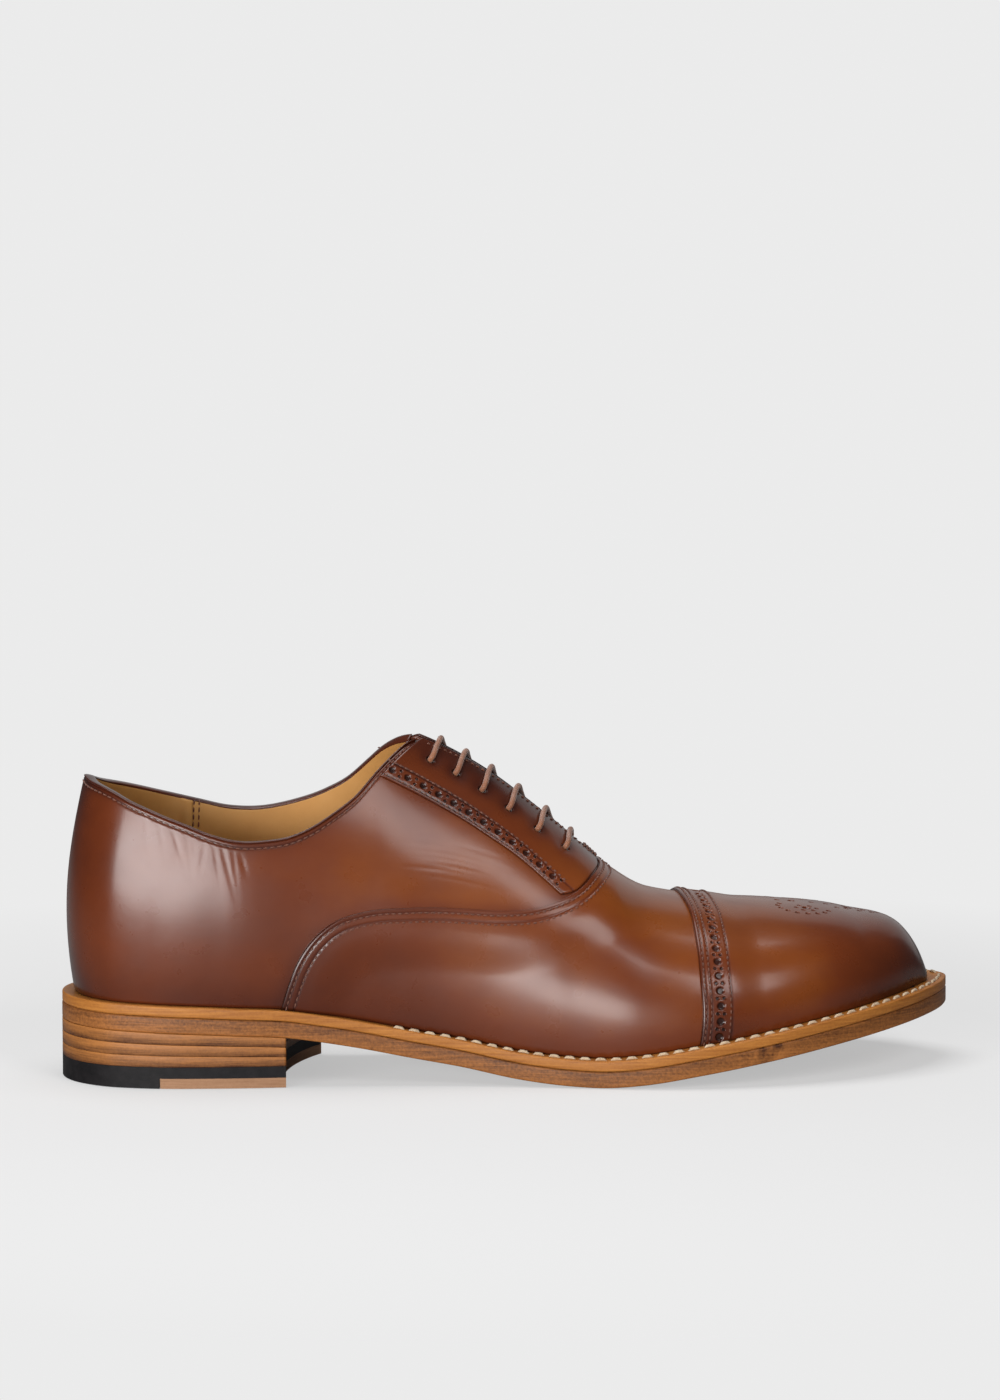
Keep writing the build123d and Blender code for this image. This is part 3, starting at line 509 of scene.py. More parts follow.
def spread(stops, counts):
    """Grid lines from stop to stop with a count for each stretch."""
    parts = [np.linspace(a, b, n, endpoint=False) for a, b, n in zip(stops[:-1], stops[1:], counts)]
    return np.concatenate(parts + [[stops[-1]]])


# Depth of a punched hole, and how far from it, in its direction, mesh points still belong to its face (mm).
HOLE_DEPTH = 0.7
HOLE_REACH = 0.8
# Painted shade: how much darker the tone is made inside each punched hole.
HOLE_PAINTED_SHADE = 0.5


def punch(obj, holes):
    """Punch round holes into an object's outer face: refine the mesh around each, then sink it and darken its
    tone there as painted shade.

    holes is a list of (centre, outward normal, radius) in mm."""
    centres = np.array([h[0] for h in holes])
    normals = unit(np.array([h[1] for h in holes]))
    radii = np.array([h[2] for h in holes])
    bm = bmesh.new()
    bm.from_mesh(obj.data)
    for _ in range(2):
        bm.verts.ensure_lookup_table()
        bm.edges.ensure_lookup_table()
        co = np.array([v.co for v in bm.verts]) / MM
        ends = np.array([(e.verts[0].index, e.verts[1].index) for e in bm.edges])
        middle = co[ends].mean(1)
        length = np.linalg.norm(co[ends[:, 0]] - co[ends[:, 1]], axis=1)
        pick = np.zeros(len(ends), bool)
        for centre, normal, radius in zip(centres, normals, radii):
            gap = middle - centre
            near = np.abs(gap).max(1) < radius * 1.3 + length
            near &= np.abs(gap @ normal) < HOLE_REACH
            pick |= near & (length > 0.30 * radius)
        edges = [bm.edges[i] for i in np.flatnonzero(pick)]
        bmesh.ops.subdivide_edges(bm, edges=edges, cuts=1, use_grid_fill=True)
    bm.to_mesh(obj.data)
    bm.free()
    mesh = obj.data
    co = np.empty(len(mesh.vertices) * 3, np.float32)
    mesh.vertices.foreach_get("co", co)
    co = co.reshape(-1, 3) / MM
    tone = np.empty(len(co), np.float32)
    mesh.attributes["tone"].data.foreach_get("value", tone)
    for centre, normal, radius in zip(centres, normals, radii):
        near = np.flatnonzero(np.abs(co - centre).max(1) < radius * 1.8)
        gap = co[near] - centre
        high = gap @ normal
        flat = np.linalg.norm(gap - high[:, None] * normal, axis=1) / radius
        k = eased((1.18 - flat) / 0.36) * (np.abs(high) < HOLE_REACH)
        rim = 0.06 * ridge(flat, 1.35, 0.2) * (np.abs(high) < HOLE_REACH)
        co[near] += (rim - k * HOLE_DEPTH)[:, None] * normal
        # Painted shade: the tone is darkened inside the hole.
        tone[near] += HOLE_PAINTED_SHADE * k
    mesh.vertices.foreach_set("co", (co * MM).astype(np.float32).ravel())
    mesh.attributes["tone"].data.foreach_set("value", tone)
    mesh.polygons.foreach_set("use_smooth", [True] * len(mesh.polygons))
    mesh.update()


def on_line(line, side, distance, out, spacing, start=0.0, end=1.0):
    """Points, outward normals and directions, evenly spaced along a seam line moved sideways by a distance."""
    moved = beside(line, distance)
    moved[:, 1] = np.minimum(moved[:, 1], 1.0)
    q = np.linspace(start, end, 600)
    st = along_line(moved, q)
    walk = walked(on_side(side, st, out))
    marks = np.arange(spacing / 2, walk[-1], spacing)
    q2 = np.interp(marks, walk, q)
    st2 = along_line(moved, q2)
    p2 = on_side(side, st2, out)
    n2 = on_side(side, st2, out + 1.0) - p2
    ahead = along_line(moved, np.minimum(q2 + 0.002, 1))
    back = along_line(moved, np.maximum(q2 - 0.002, 0))
    d2 = on_side(side, ahead, out) - on_side(side, back, out)
    return p2, n2, unit(d2)


def stitch_mesh(rows, length, radius, sink):
    """Small arched thread stitches for lists of (points, normals, directions)."""
    verts, faces = [], []
    sections, around_ = 5, 6
    for points, normals, directions in rows:
        for p, n, d in zip(points, normals, directions):
            b = np.cross(d, n)
            start = len(verts)
            for k in range(sections):
                u = k / (sections - 1) * 2 - 1
                lift = radius * (1 - sink) * (1 - u**4) - radius * 0.9 * u**4
                r = radius * np.sqrt(max(1 - (0.92 * u) ** 4, 0.02))
                centre = p + d * u * length / 2 + n * lift
                for angle in 2 * np.pi * np.arange(around_) / around_:
                    verts.append(centre + r * (np.cos(angle) * n + np.sin(angle) * b))
            faces += tube_faces(sections, around_, start)
    return verts, faces


def stitches(name, rows, length, radius, sink=0.25):
    verts, faces = stitch_mesh(rows, length, radius, sink)
    make_object(name, verts, faces, SEAM_THREAD)


def tube_mesh(path, radius, around_, squeeze):
    """Tube along a path, with its radius squeezed by a share at each point."""
    verts = []
    across = np.array([0.0, 0.0, 1.0])
    for k, p in enumerate(path):
        d = unit(path[min(k + 1, len(path) - 1)] - path[max(k - 1, 0)])
        across = unit(across - d * across.dot(d))
        other = np.cross(d, across)
        r = radius * squeeze[k]
        for angle in 2 * np.pi * np.arange(around_) / around_:
            verts.append(p + r * (np.cos(angle) * across + np.sin(angle) * other))
    return verts, tube_faces(len(path), around_)


# ------------------------------------------------------------------ materials
class Nodes:
    """Short way to build a material's node tree."""

    def __init__(self, name):
        self.material = bpy.data.materials.new(name)
        self.material.use_nodes = True
        self.tree = self.material.node_tree
        self.shader = self.tree.nodes["Principled BSDF"]
        self.coord = self.new("TexCoord").outputs["Object"]

    def new(self, kind, **values):
        """A new node, with values or links for its inputs; spaces in their names are written as _."""
        node = self.tree.nodes.new("ShaderNode" + kind)
        for key, value in values.items():
            self.set(node.inputs[key.replace("_", " ")], value)
        return node

    def set(self, socket, value):
        if isinstance(value, bpy.types.NodeSocket):
            self.tree.links.new(value, socket)
        else:
            socket.default_value = value

    def noise(self, scale, detail=3.0, rough=0.55, stretch=None):
        vector = self.coord
        if stretch:
            vector = self.new("Mapping", Vector=vector, Scale=stretch).outputs["Vector"]
        return self.new("TexNoise", Vector=vector, Scale=scale, Detail=detail, Roughness=rough).outputs["Fac"]

    def voronoi(self, scale):
        node = self.new("TexVoronoi", Vector=self.coord, Scale=scale)
        node.feature = "DISTANCE_TO_EDGE"
        return node.outputs["Distance"]

    def math(self, op, a, b=0.0, c=0.0):
        node = self.new("Math")
        node.operation = op
        for socket, value in zip(node.inputs, (a, b, c)):
            self.set(socket, value)
        return node.outputs[0]

    def ramp(self, factor, stops):
        node = self.new("ValToRGB", Fac=factor)
        ramp = node.color_ramp
        while len(ramp.elements) < len(stops):
            ramp.elements.new(0.5)
        for element, (position, colour) in zip(ramp.elements, stops):
            element.position = position
            element.color = (*colour, 1.0)
        return node.outputs["Color"]

    def attribute(self, name):
        node = self.new("Attribute")
        node.attribute_name = name
        return node.outputs["Fac"]

    def bump(self, height, strength, distance):
        return self.new("Bump", Height=height, Strength=strength, Distance=distance).outputs["Normal"]

    def finish(self, colour, roughness, normal, **extra):
        for key, value in dict(Base_Color=colour, Roughness=roughness, Normal=normal, **extra).items():
            self.set(self.shader.inputs[key.replace("_", " ")], value)
        return self.material


def upper_leather():
    m = Nodes("upper_leather")
    tone = m.attribute("tone")
    cloud = m.math("MULTIPLY_ADD", m.noise(22.0, 4.0), 0.55, -0.275)
    streak = m.math("MULTIPLY_ADD", m.noise(60.0, 5.0, 0.6, (0.35, 1.0, 1.0)), 0.22, -0.11)
    mix = m.math("ADD", m.math("ADD", tone, cloud), streak)
    colour = m.ramp(mix, [(0.0, TAN), (0.35, BROWN), (0.7, DEEP), (1.0, DARK)])
    grain = m.noise(1500.0, 4.0, 0.65)
    brushed = m.noise(420.0, 3.0, 0.6, (0.25, 1.0, 1.6))
    wave = m.noise(130.0, 3.0)
    height = m.math("ADD", m.math("MULTIPLY", grain, 0.16), m.math("MULTIPLY", wave, 0.45))
    height = m.math("ADD", height, m.math("MULTIPLY", brushed, 0.16))
    rough = m.math("MULTIPLY_ADD", m.noise(90.0, 4.0), 0.14, 0.22)
    return m.finish(colour, rough, m.bump(height, 0.35, 0.0002), Coat_Weight=0.26, Coat_Roughness=0.17,
                    Specular_IOR_Level=0.30)


def lining_leather():
    m = Nodes("lining_leather")
    tone = m.math("MULTIPLY_ADD", m.noise(45.0, 5.0), 0.9, 0.05)
    colour = m.ramp(tone, [(0.0, (0.33, 0.148, 0.036)), (0.5, (0.48, 0.240, 0.068)),
                           (1.0, (0.61, 0.340, 0.120))])
    height = m.noise(900.0, 4.0)
    return m.finish(colour, 0.62, m.bump(height, 0.35, 0.0002), Specular_IOR_Level=0.35)


def layered_leather(name, light, dark, speckle, direction=(0.25, 0.25, 6.0), rough=0.5, coat=0.05):
    """Cut and burnished leather edge: fine layers and speckles."""
    m = Nodes(name)
    fibre = m.noise(260.0, 5.0, 0.65, direction)
    spot = m.noise(1100.0, 3.0, 0.7)
    cloud = m.noise(35.0, 3.0)
    mix = m.math("ADD", m.math("MULTIPLY", fibre, 0.85), m.math("MULTIPLY", spot, speckle))
    mix = m.math("ADD", m.math("ADD", mix, -0.18 - 0.3 * speckle), m.math("MULTIPLY", cloud, 0.25))
    tone = m.math("ADD", mix, m.math("MULTIPLY", m.attribute("tone"), 0.9))
    middle = tuple(0.5 * (a + b) for a, b in zip(light, dark))
    colour = m.ramp(tone, [(0.25, dark), (0.55, middle), (0.85, light)])
    height = m.math("ADD", fibre, m.math("MULTIPLY", spot, 0.6))
    return m.finish(colour, rough, m.bump(height, 0.4, 0.00025), Coat_Weight=coat, Coat_Roughness=0.3,
                    Specular_IOR_Level=0.25)


def rubber():
    m = Nodes("heel_rubber")
    colour = m.ramp(m.noise(300.0, 4.0), [(0.3, (0.004, 0.0035, 0.004)), (0.8, (0.012, 0.010, 0.011))])
    return m.finish(colour, 0.6, m.bump(m.noise(1500.0, 3.0), 0.3, 0.0002), Specular_IOR_Level=0.2)


def thread(name, light, dark):
    m = Nodes(name)
    colour = m.ramp(m.noise(700.0, 3.0), [(0.3, dark), (0.7, light)])
    twist = m.noise(2500.0, 2.0, 0.5, (1, 1, 2.5))
    return m.finish(colour, 0.6, m.bump(twist, 0.5, 0.0002), Sheen_Weight=0.2)


def lace_cotton():
    m = Nodes("lace_cotton")
    mix = m.math("MULTIPLY_ADD", m.noise(180.0, 3.0), 0.5, 0.25)
    weave_and_shade = m.voronoi(1500.0)
    # Painted shade: the colour darkens towards the edges of the weave's cells, the hollows of its bump.
    colour = m.ramp(m.math("ADD", mix, m.math("MULTIPLY", weave_and_shade, 0.3)),
                    [(0.2, (0.13, 0.040, 0.016)), (0.6, (0.25, 0.090, 0.036)), (0.95, (0.36, 0.15, 0.066))])
    return m.finish(colour, 0.5, m.bump(weave_and_shade, 0.8, 0.00025), Sheen_Weight=0.3)


TAN = (0.220, 0.056, 0.0070)
BROWN = (0.121, 0.0240, 0.0050)
DEEP = (0.056, 0.0102, 0.0034)
DARK = (0.018, 0.0042, 0.0022)
LEATHER = upper_leather()
LINING_MAT = lining_leather()
SOLE_MAT = layered_leather("sole_leather", (0.34, 0.125, 0.030), (0.050, 0.014, 0.004), 0.75)
WELT_MAT = layered_leather("welt_leather", (0.56, 0.230, 0.045), (0.26, 0.085, 0.013), 0.30)
LIFT_MAT = layered_leather("stacked_leather", (0.36, 0.138, 0.034), (0.060, 0.018, 0.005), 0.35)
INSERT_MAT = layered_leather("insert_leather", (0.42, 0.235, 0.135), (0.26, 0.135, 0.070), 0.3, rough=0.7,
                             coat=0.0)
RUBBER_MAT = rubber()
WELT_THREAD = thread("welt_thread", (0.55, 0.43, 0.29), (0.36, 0.25, 0.15))
SEAM_THREAD = thread("seam_thread", (0.150, 0.042, 0.016), (0.085, 0.023, 0.009))
LACE_MAT = lace_cotton()
CAD_MATERIALS = {"shank": RUBBER_MAT, "top_piece_rubber": RUBBER_MAT, "top_piece_leather": INSERT_MAT}
for inner in ("insole", "sock_liner", "cork_filler", "heel_counter", "toe_puff", "facing_stay_lateral",
              "facing_stay_medial"):
    CAD_MATERIALS[inner] = LINING_MAT
for node, material in CAD_MATERIALS.items():
    frame["nodes"][node].data.materials.clear()
    frame["nodes"][node].data.materials.append(material)


# ------------------------------------------------------------------ upper
def seam_gaps(points, line, side, every):
    """Distance of each point from a seam line on the bare shape of one side."""
    st = along_line(line, np.linspace(0, 1, 120))
    return seam_distance(points, on_side(side, st, 0.0)[::every])


def back_tone(s, t, p):
    """Burnish of the quarters: darker at the heel and along the welt."""
    return 0.33 + 0.42 * ridge(s, 0, 0.07) + 0.18 * ridge(t, 0, 0.10) + 0.10 * soft_noise(p, 22.0, 5)


def finer(st, rows, columns):
    """The grid st drawn again with that many rows and columns."""
    a = np.linspace(0, st.shape[0] - 1, rows)
    b = np.linspace(0, st.shape[1] - 1, columns)
    i = np.minimum(a.astype(int), st.shape[0] - 2)
    j = np.minimum(b.astype(int), st.shape[1] - 2)
    x = (a - i)[:, None, None]
    y = (b - j)[None, :, None]
    low = (1 - y) * st[np.ix_(i, j)] + y * st[np.ix_(i, j + 1)]
    high = (1 - y) * st[np.ix_(i + 1, j)] + y * st[np.ix_(i + 1, j + 1)]
    return (1 - x) * low + x * high


# Distances of the stitch rows from their seam or edge (mm).
RIM_ROW = 1.8
FACING_ROWS = (1.0, 6.3)
VAMP_ROWS = (1.5, 4.0)
CAP_ROWS = (1.2, 3.0, 9.9)


def quarter_piece(side):
    """One quarter: creases below the rim and ahead of it, a folded rim and its row of stitches."""
    name = "lateral" if side < 0 else "medial"
    front = shifted(SWAN_NECK, LAP)
    front[:, 1] = np.minimum(front[:, 1], FACING_EDGE_T)

    def between_edges(rows, columns):
        u, v = grid(rows, columns)
        foot = np.stack([u * front[0, 0], u * 0], -1)
        s_top = u * front[-1, 0]
        top = np.stack([s_top, top_edge(side, s_top)], -1)
        back = np.stack([SEAM_GAP + v * 0, v * rim_t(side, 0.0)], -1)
        return coons(u, v, foot, top, back, along_line(front, v))

    st = between_edges(330, 170)
    st[1:-1, 1:-1] = finer(relaxed(between_edges(66, 34)), 330, 170)[1:-1, 1:-1]
    st = relaxed(st, 40)
    s = np.maximum(st[..., 0], SEAM_GAP)
    t = np.clip(st[..., 1], 0, FACING_EDGE_T)
    p = layer(side, s, t, 0 * s)
    below = rim_t(side, np.clip(s, 0, FACING_TOP[0])) - t
    out = np.zeros_like(s)
    rng = np.random.default_rng(11 + side)
    for k in range(13):
        sc = 0.125 + 0.009 * k + rng.uniform(-0.003, 0.003)
        depth = rng.uniform(0.03, 0.10)
        length = rng.uniform(0.03, 0.10)
        lean = rng.uniform(-0.008, 0.012)
        line = (s - sc - lean * below / 0.1) * GIRTH_MM
        fade = ridge(below, 0.07, length) * (below > 0.03)
        out -= depth * ridge(line, 0, rng.uniform(0.5, 0.9)) * fade
    for k in range(7):
        tc = 0.60 - 0.018 * k + rng.uniform(-0.004, 0.004)
        sc = rng.uniform(0.43, 0.49)
        line = (t - tc - 0.12 * (s - sc)) * RISE_MM
        fade = ridge(s, sc, rng.uniform(0.02, 0.05))
        out -= rng.uniform(0.03, 0.08) * ridge(line, 0, 0.5) * fade
    out += 0.10 * soft_noise(p, 14.0, 21 + side)
    rim = np.clip(below, 0, 1) * RISE_MM
    behind = s < FACING_TOP[0]
    out -= 0.14 * ridge(rim, RIM_ROW, 0.5) * behind
    out -= 0.35 * (1 - np.clip(rim, 0, 1)) ** 2 * behind
    tone = back_tone(s, t, p)
    tone = tone + 0.20 * ridge(rim, 0, 3.0) * behind
    d = seam_gaps(p, SWAN_NECK, side, 3)
    # Darker along the swan-neck seam edge; painted shade in the sunk groove of the rim stitch row.
    tone = tone + 0.12 * ridge(d, 0, 3.0) + 0.30 * ridge(rim, RIM_ROW, 0.5) * behind
    obj = leather_piece(f"quarter_{name}_leather", lambda o: layer(side, s, t, o), out, -QUARTER[1], tone,
                        LEATHER)
    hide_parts(f"quarter_{name}")
    rim_s = np.linspace(0.002, FACING_TOP[0] - 0.012, 120)
    rim_line = np.stack([rim_s, rim_t(side, rim_s) - 1.9 / RISE_MM], -1)
    stitches(f"rim_stitches_{name}", [on_line(rim_line, side, 0.0, -0.10, 2.3)], length=1.75, radius=0.27)


def facing_st(side, rows, columns):
    u, v = grid(rows, columns)
    s_low = BROGUE_LINE[0, 0] + u * (BROGUE_LINE[-1, 0] - BROGUE_LINE[0, 0])
    low = np.stack([s_low, smooth(BROGUE_LINE[:, 0], BROGUE_LINE[:, 1], s_low)], -1)
    s_high = FACING_TOP[0] + FACING_SET_S + u * (SWAN_NECK[-1, 0] - 2 * FACING_SET_S - FACING_TOP[0])
    high = np.stack([s_high, s_high * 0 + FACING_EDGE_T], -1)
    back = low[0:1, 0:1] + (high[0:1, 0:1] - low[0:1, 0:1]) * v[..., None]
    rim = rim_t(side, np.clip(back[..., 0], 0, FACING_TOP[0]))
    back = np.stack([back[..., 0], np.minimum(back[..., 1], rim)], -1)
    swan = shifted(SWAN_NECK, -FACING_GAP)
    swan = swan[(swan[:, 1] > FACING_FRONT_T[0]) & (swan[:, 1] < FACING_FRONT_T[1])]
    swan = np.vstack([low[-1, 0], swan, high[-1, 0]])
    return coons(u, v, low, high, back, along_line(swan, v))


def brogue_row(line, side, distance, out, pitch, big, small, start, end):
    """Big holes along a line, with a pair of small holes between each two."""
    p, n, d = on_line(line, side, distance, out, pitch / 2, start, end)
    holes = []
    for k in range(len(p)):
        if k % 2 == 0:
            holes.append((p[k], n[k], big))
        else:
            b = np.cross(d[k], n[k])
            holes.extend([(p[k] + b * 1.1, n[k], small), (p[k] - b * 1.1, n[k], small)])
    return holes


def facing_piece(side):
    """One facing: punched band, dimpled eyelets and its rows of stitches."""
    name = "lateral" if side < 0 else "medial"
    st = facing_st(side, 230, 84)
    s, t = st[..., 0], st[..., 1]
    p = layer(side, s, t, 0 * s + FACING[0])
    edge = (t - smooth(BROGUE_LINE[:, 0], BROGUE_LINE[:, 1], s)) * RISE_MM
    out = FACING[0] - grooves(edge, FACING_ROWS, 0.12, 0.45)
    eyes = on_side(side, np.array(EYELETS), FACING[0])
    dimple = sum(ridge(np.linalg.norm(p - eye, axis=-1), 0, EYE_DIMPLE_R) for eye in eyes)
    out = out - EYE_SINK * dimple
    out += 0.07 * soft_noise(p, 12.0, 31 + side)
    tone = 0.40 + 0.10 * soft_noise(p, 20.0, 6)
    # Darker towards the facing's top edge; painted shade in the sunk eyelet dimples.
    tone = tone + 0.36 * np.clip((t - 0.80) / 0.14, 0, 1) + 0.25 * dimple
    tone = tone + 0.12 * ridge(edge, 3.5, 3.0)
    # Painted shade: darker in the sunk stitch grooves.
    tone = tone + grooves(edge, FACING_ROWS, 0.45, 0.5)
    thickness = FACING[0] - FACING[1] - 0.02
    obj = leather_piece(f"facing_{name}_leather", lambda o: layer(side, s, t, o), out, thickness, tone,
                        LEATHER, edge=0.35)
    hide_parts(f"facing_{name}")
    holes = brogue_row(BROGUE_LINE, side, -3.6, FACING[0], pitch=5.9, big=1.15, small=0.52, start=0.03,
                       end=0.985)
    outwards = on_side(side, np.array(EYELETS), FACING[0] + 1.0) - eyes
    holes += [(eye - EYE_SINK * n, n, EYE_HOLE_R) for eye, n in zip(eyes, outwards)]
    punch(obj, holes)
    rows = [on_line(BROGUE_LINE, side, -d, FACING[0] - 0.04, 2.1, 0.01, 0.99) for d in FACING_ROWS]
    edge_s = (FACING_TOP[0] + 0.006, 0.54, SWAN_NECK[-1, 0] - 0.012)
    edge_line = np.array([(s, FACING_EDGE_T - 0.024) for s in edge_s])
    rows.append(on_line(edge_line, side, 0.0, FACING[0] - 0.05, 2.1))
    stitches(f"facing_stitches_{name}", rows, length=1.35, radius=0.26)


def vamp_piece():
    """The vamp and its two wings; it thins out away from the swan-neck seam."""
    run = spread([0.0, 0.13, 0.85, 1.0], [56, 100, 16])
    g, run = np.meshgrid(np.linspace(-1, 1, 301), run, indexing="ij")
    rear = along_line(SWAN_NECK, 1 - np.abs(g))
    front = along_line(shifted(CAP_SEAM, LAP + 2.0), 1 - np.abs(g))
    st = rear + (front - rear) * run[..., None]
    g2 = np.sign(g) * (1 - st[..., 1])
    s = st[..., 0]
    base = both(g2, s, 0.0)
    d = np.minimum(seam_gaps(base, SWAN_NECK, -1, 2), seam_gaps(base, SWAN_NECK, 1, 2))
    out = VAMP_LAP * (1 - eased((d - LAP) / 15.0))
    out = out - grooves(d, VAMP_ROWS, 0.13, 0.4)
    out = out + 0.08 * soft_noise(base, 16.0, 41)
    tone = 0.24 + 0.10 * soft_noise(base, 24.0, 7)
    tone = tone + 0.20 * ridge(d, 0, 0.9) + 0.07 * ridge(d, 0, 5.0) + 0.16 * ridge(np.abs(g2), 1, 0.09)
    tone = tone + 0.25 * np.clip((0.60 - s) / 0.30, 0, 1)
    tone = tone - 0.10 * ridge(s, 0.70, 0.05)
    # Painted shade: darker in the sunk stitch grooves.
    tone = tone + grooves(d, VAMP_ROWS, 0.22, 0.5)
    obj = leather_piece("vamp_leather", lambda o: both(g2, s, o), out, VAMP_T, tone, LEATHER)
    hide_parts("vamp")
    rows = [on_line(SWAN_NECK, side, row, VAMP_LAP - 0.05, 2.2, end=0.995) for side in (-1, 1)
            for row in VAMP_ROWS]
    stitches("vamp_stitches", rows, length=1.45, radius=0.27)
    bar_tack()


def crest(s, out):
    """Point above the crest, midway between the two sides."""
    return 0.5 * (layer(-1, s, 1.0, out) + layer(1, s, 1.0, out))


def bar_tack():
    """Short thick threads across the bottom of the throat."""
    rows = []
    for k in range(5):
        s = SWAN_NECK[-1, 0] - 0.004 - 0.0032 * k
        middle = crest(s, 1.2)
        up = unit(np.cross(crest(s + 0.002, 1.2) - middle, [0.0, 1.0, 0.0]))
        up = up * np.sign(up[2])
        rows.append((middle[None] - 0.3 * up, up[None], np.array([[0.0, 1.0, 0.0]])))
    stitches("throat_bar_tack", rows, length=6.2, radius=0.55, sink=0.1)


def medallion():
    """Holes of half the medallion: forward and sideways from its middle on the crest, and radius, in mm."""
    ring = [(3.6 * np.cos(a), 11.5 + 3.6 * np.sin(a), 0.65) for a in np.radians(np.arange(0, 360, 60))]
    arc = [(-1.0 + 9.0 * np.cos(a), 11.0 + 8.0 * np.sin(a), 0.75) for a in np.radians(np.arange(20, 215, 24))]
    middle = [(0.0, 11.5, 1.4), (-3.0, 0.0, 1.1), (4.0, 0.0, 0.75), (9.0, 0.0, 0.75), (-8.0, 0.0, 0.75)]
    front = [(15.5, 3.4, 0.75), (16.5, 0.0, 1.3), (20.0, 3.0, 0.75), (21.5, 0.0, 0.75), (24.0, 2.6, 0.75),
             (26.0, 0.0, 0.75), (29.0, 0.0, 0.75), (12.0, 5.0, 0.75)]
    return ring + arc + middle + front


MEDALLION_S = 0.867
MEDALLION_MM_PER_S = 371.0
MEDALLION_MM_PER_T = 75.0


def toe_cap_piece():
    """The toe cap with its punched band and medallion; it thins out away from its seam."""
    run = spread([0.0, 0.16, 0.80, 1.0], [44, 84, 30])
    g, run = np.meshgrid(np.linspace(-1, 1, 341), run, indexing="ij")
    rear = along_line(CAP_SEAM, 1 - np.abs(g))
    s = rear[..., 0] + (1 - rear[..., 0]) * run
    base = both(g, s, 0.0)
    d = np.minimum(seam_gaps(base, CAP_SEAM, -1, 2), seam_gaps(base, CAP_SEAM, 1, 2))
    out = CAP_MAIN + (CAP_LAP - CAP_MAIN) * (1 - eased((d - LAP - 2.0) / 13.0))
    out = out - grooves(d, CAP_ROWS, 0.12, 0.4)
    out = out + 0.05 * soft_noise(base, 15.0, 51)
    tone = 0.20 + 0.09 * soft_noise(base, 22.0, 8)
    tone = tone + 0.50 * np.clip((s - 0.84) / 0.16, 0, 1) ** 1.2 + 0.25 * ridge(d, 0, 0.9)
    tone = tone + 0.12 * ridge(d, 6.0, 4.0)
    # Painted shade: darker in the sunk stitch grooves.
    tone = tone + grooves(d, CAP_ROWS, 0.25, 0.5)
    tone = tone + 0.15 * ridge(np.abs(g), 1, 0.10)
    obj = leather_piece("toe_cap_leather", lambda o: both(g, s, o), out, CAP_T, tone, LEATHER, edge=0.35)
    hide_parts("toe_cap")
    holes = []
    for side in (-1, 1):
        holes += brogue_row(CAP_SEAM, side, 6.4, CAP_LAP, pitch=5.2, big=1.25, small=0.55, start=0.02, end=0.99)
        for forward, sideways, radius in medallion():
            if side == 1 and sideways == 0.0:
                continue
            t = 1 - sideways / MEDALLION_MM_PER_T
            hole_s = MEDALLION_S + forward / MEDALLION_MM_PER_S
            centre = layer(side, hole_s, t, CAP_MAIN)
            holes.append((centre, layer(side, hole_s, t, CAP_MAIN + 1.0) - centre, radius))
    punch(obj, holes)
    rows = [on_line(CAP_SEAM, side, row, CAP_LAP - 0.05, 2.1) for side in (-1, 1) for row in CAP_ROWS]
    stitches("toe_cap_stitches", rows, length=1.4, radius=0.26)


def lining_pieces():
    """Linings of the quarters, the heel and the vamp."""
    for side, name in ((-1, "lateral"), (1, "medial")):
        u, v = grid(160, 90)
        s_low = LINING_SEAM_S + u * (LINING_FRONT_S - LINING_SEAM_S)
        low = np.stack([s_low, u * 0 + LINING_FOOT_T], -1)
        s_high = LINING_SEAM_S + u * (LINING_THROAT_S - LINING_SEAM_S)
        high = np.stack([s_high, np.minimum(top_edge(side, s_high), FACING_EDGE_T - LINING_HOLD_BACK_T)], -1)
        seam = rim_t(side, LINING_SEAM_S)
        back = np.stack([LINING_SEAM_S + v * 0, LINING_FOOT_T + v * (seam - LINING_FOOT_T)], -1)
        right_s = LINING_FRONT_S + (LINING_THROAT_S - LINING_FRONT_S) * v**2
        right = np.stack([right_s, LINING_FOOT_T + v * (high[-1, 0, 1] - LINING_FOOT_T)], -1)
        st = coons(u, v, low, high, back, right)
        s, t = st[..., 0], st[..., 1]
        p = layer(side, s, t, 0 * s)
        out = LINING[0] + 0.12 * soft_noise(p, 9.0, 61)
        obj = leather_piece(f"quarter_lining_{name}_leather",
                            lambda o, s=s, t=t, side=side: layer(side, s, t, o),
                            out, 0.8, 0 * s, LINING_MAT)
        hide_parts(f"quarter_lining_{name}")
        edge = np.stack([np.full(40, LINING_SEAM_S + 0.006), np.linspace(0.2, seam - 0.01, 40)], -1)
        rows = []
        for shift in (0.0, 0.006):
            line = edge + np.array([shift, 0.0])
            points, normals, directions = on_line(line, side, 0.0, LINING[1] - 0.12, 2.6)
            rows.append((points, -normals, directions))
        stitches(f"lining_stitches_{name}", rows, length=1.9, radius=0.25)
    u, v = grid(160, 70)
    s = (2 * u - 1) * (LINING_SEAM_S + 0.004)
    t = LINING_FOOT_T + v * (rim_around(s) - LINING_FOOT_T)
    p = around(s, t, 0 * s)
    lap = np.clip((np.abs(s) - LINING_SEAM_S + 0.010) / 0.006, 0, 1)
    out = LINING[0] + 0.10 * soft_noise(p, 10.0, 62) - 0.9 * lap
    obj = leather_piece("heel_lining_leather", lambda o: around(s, t, o), out, 0.75, 0 * s, LINING_MAT)
    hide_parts("heel_lining")
    u, v = grid(161, 80)
    g = 2 * u - 1
    rear = LINING_FRONT_S + VAMP_LINING_RISE_S * (1 - np.abs(g)) ** 2
    s = rear + (VAMP_LINING_END - rear) * v
    obj = leather_piece("vamp_lining_leather", lambda o: both(g * VAMP_LINING_GIRTH, s, o),
                        0 * s + VAMP_LINING[0], 0.7, 0 * s, LINING_MAT)
    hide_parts("vamp_lining")


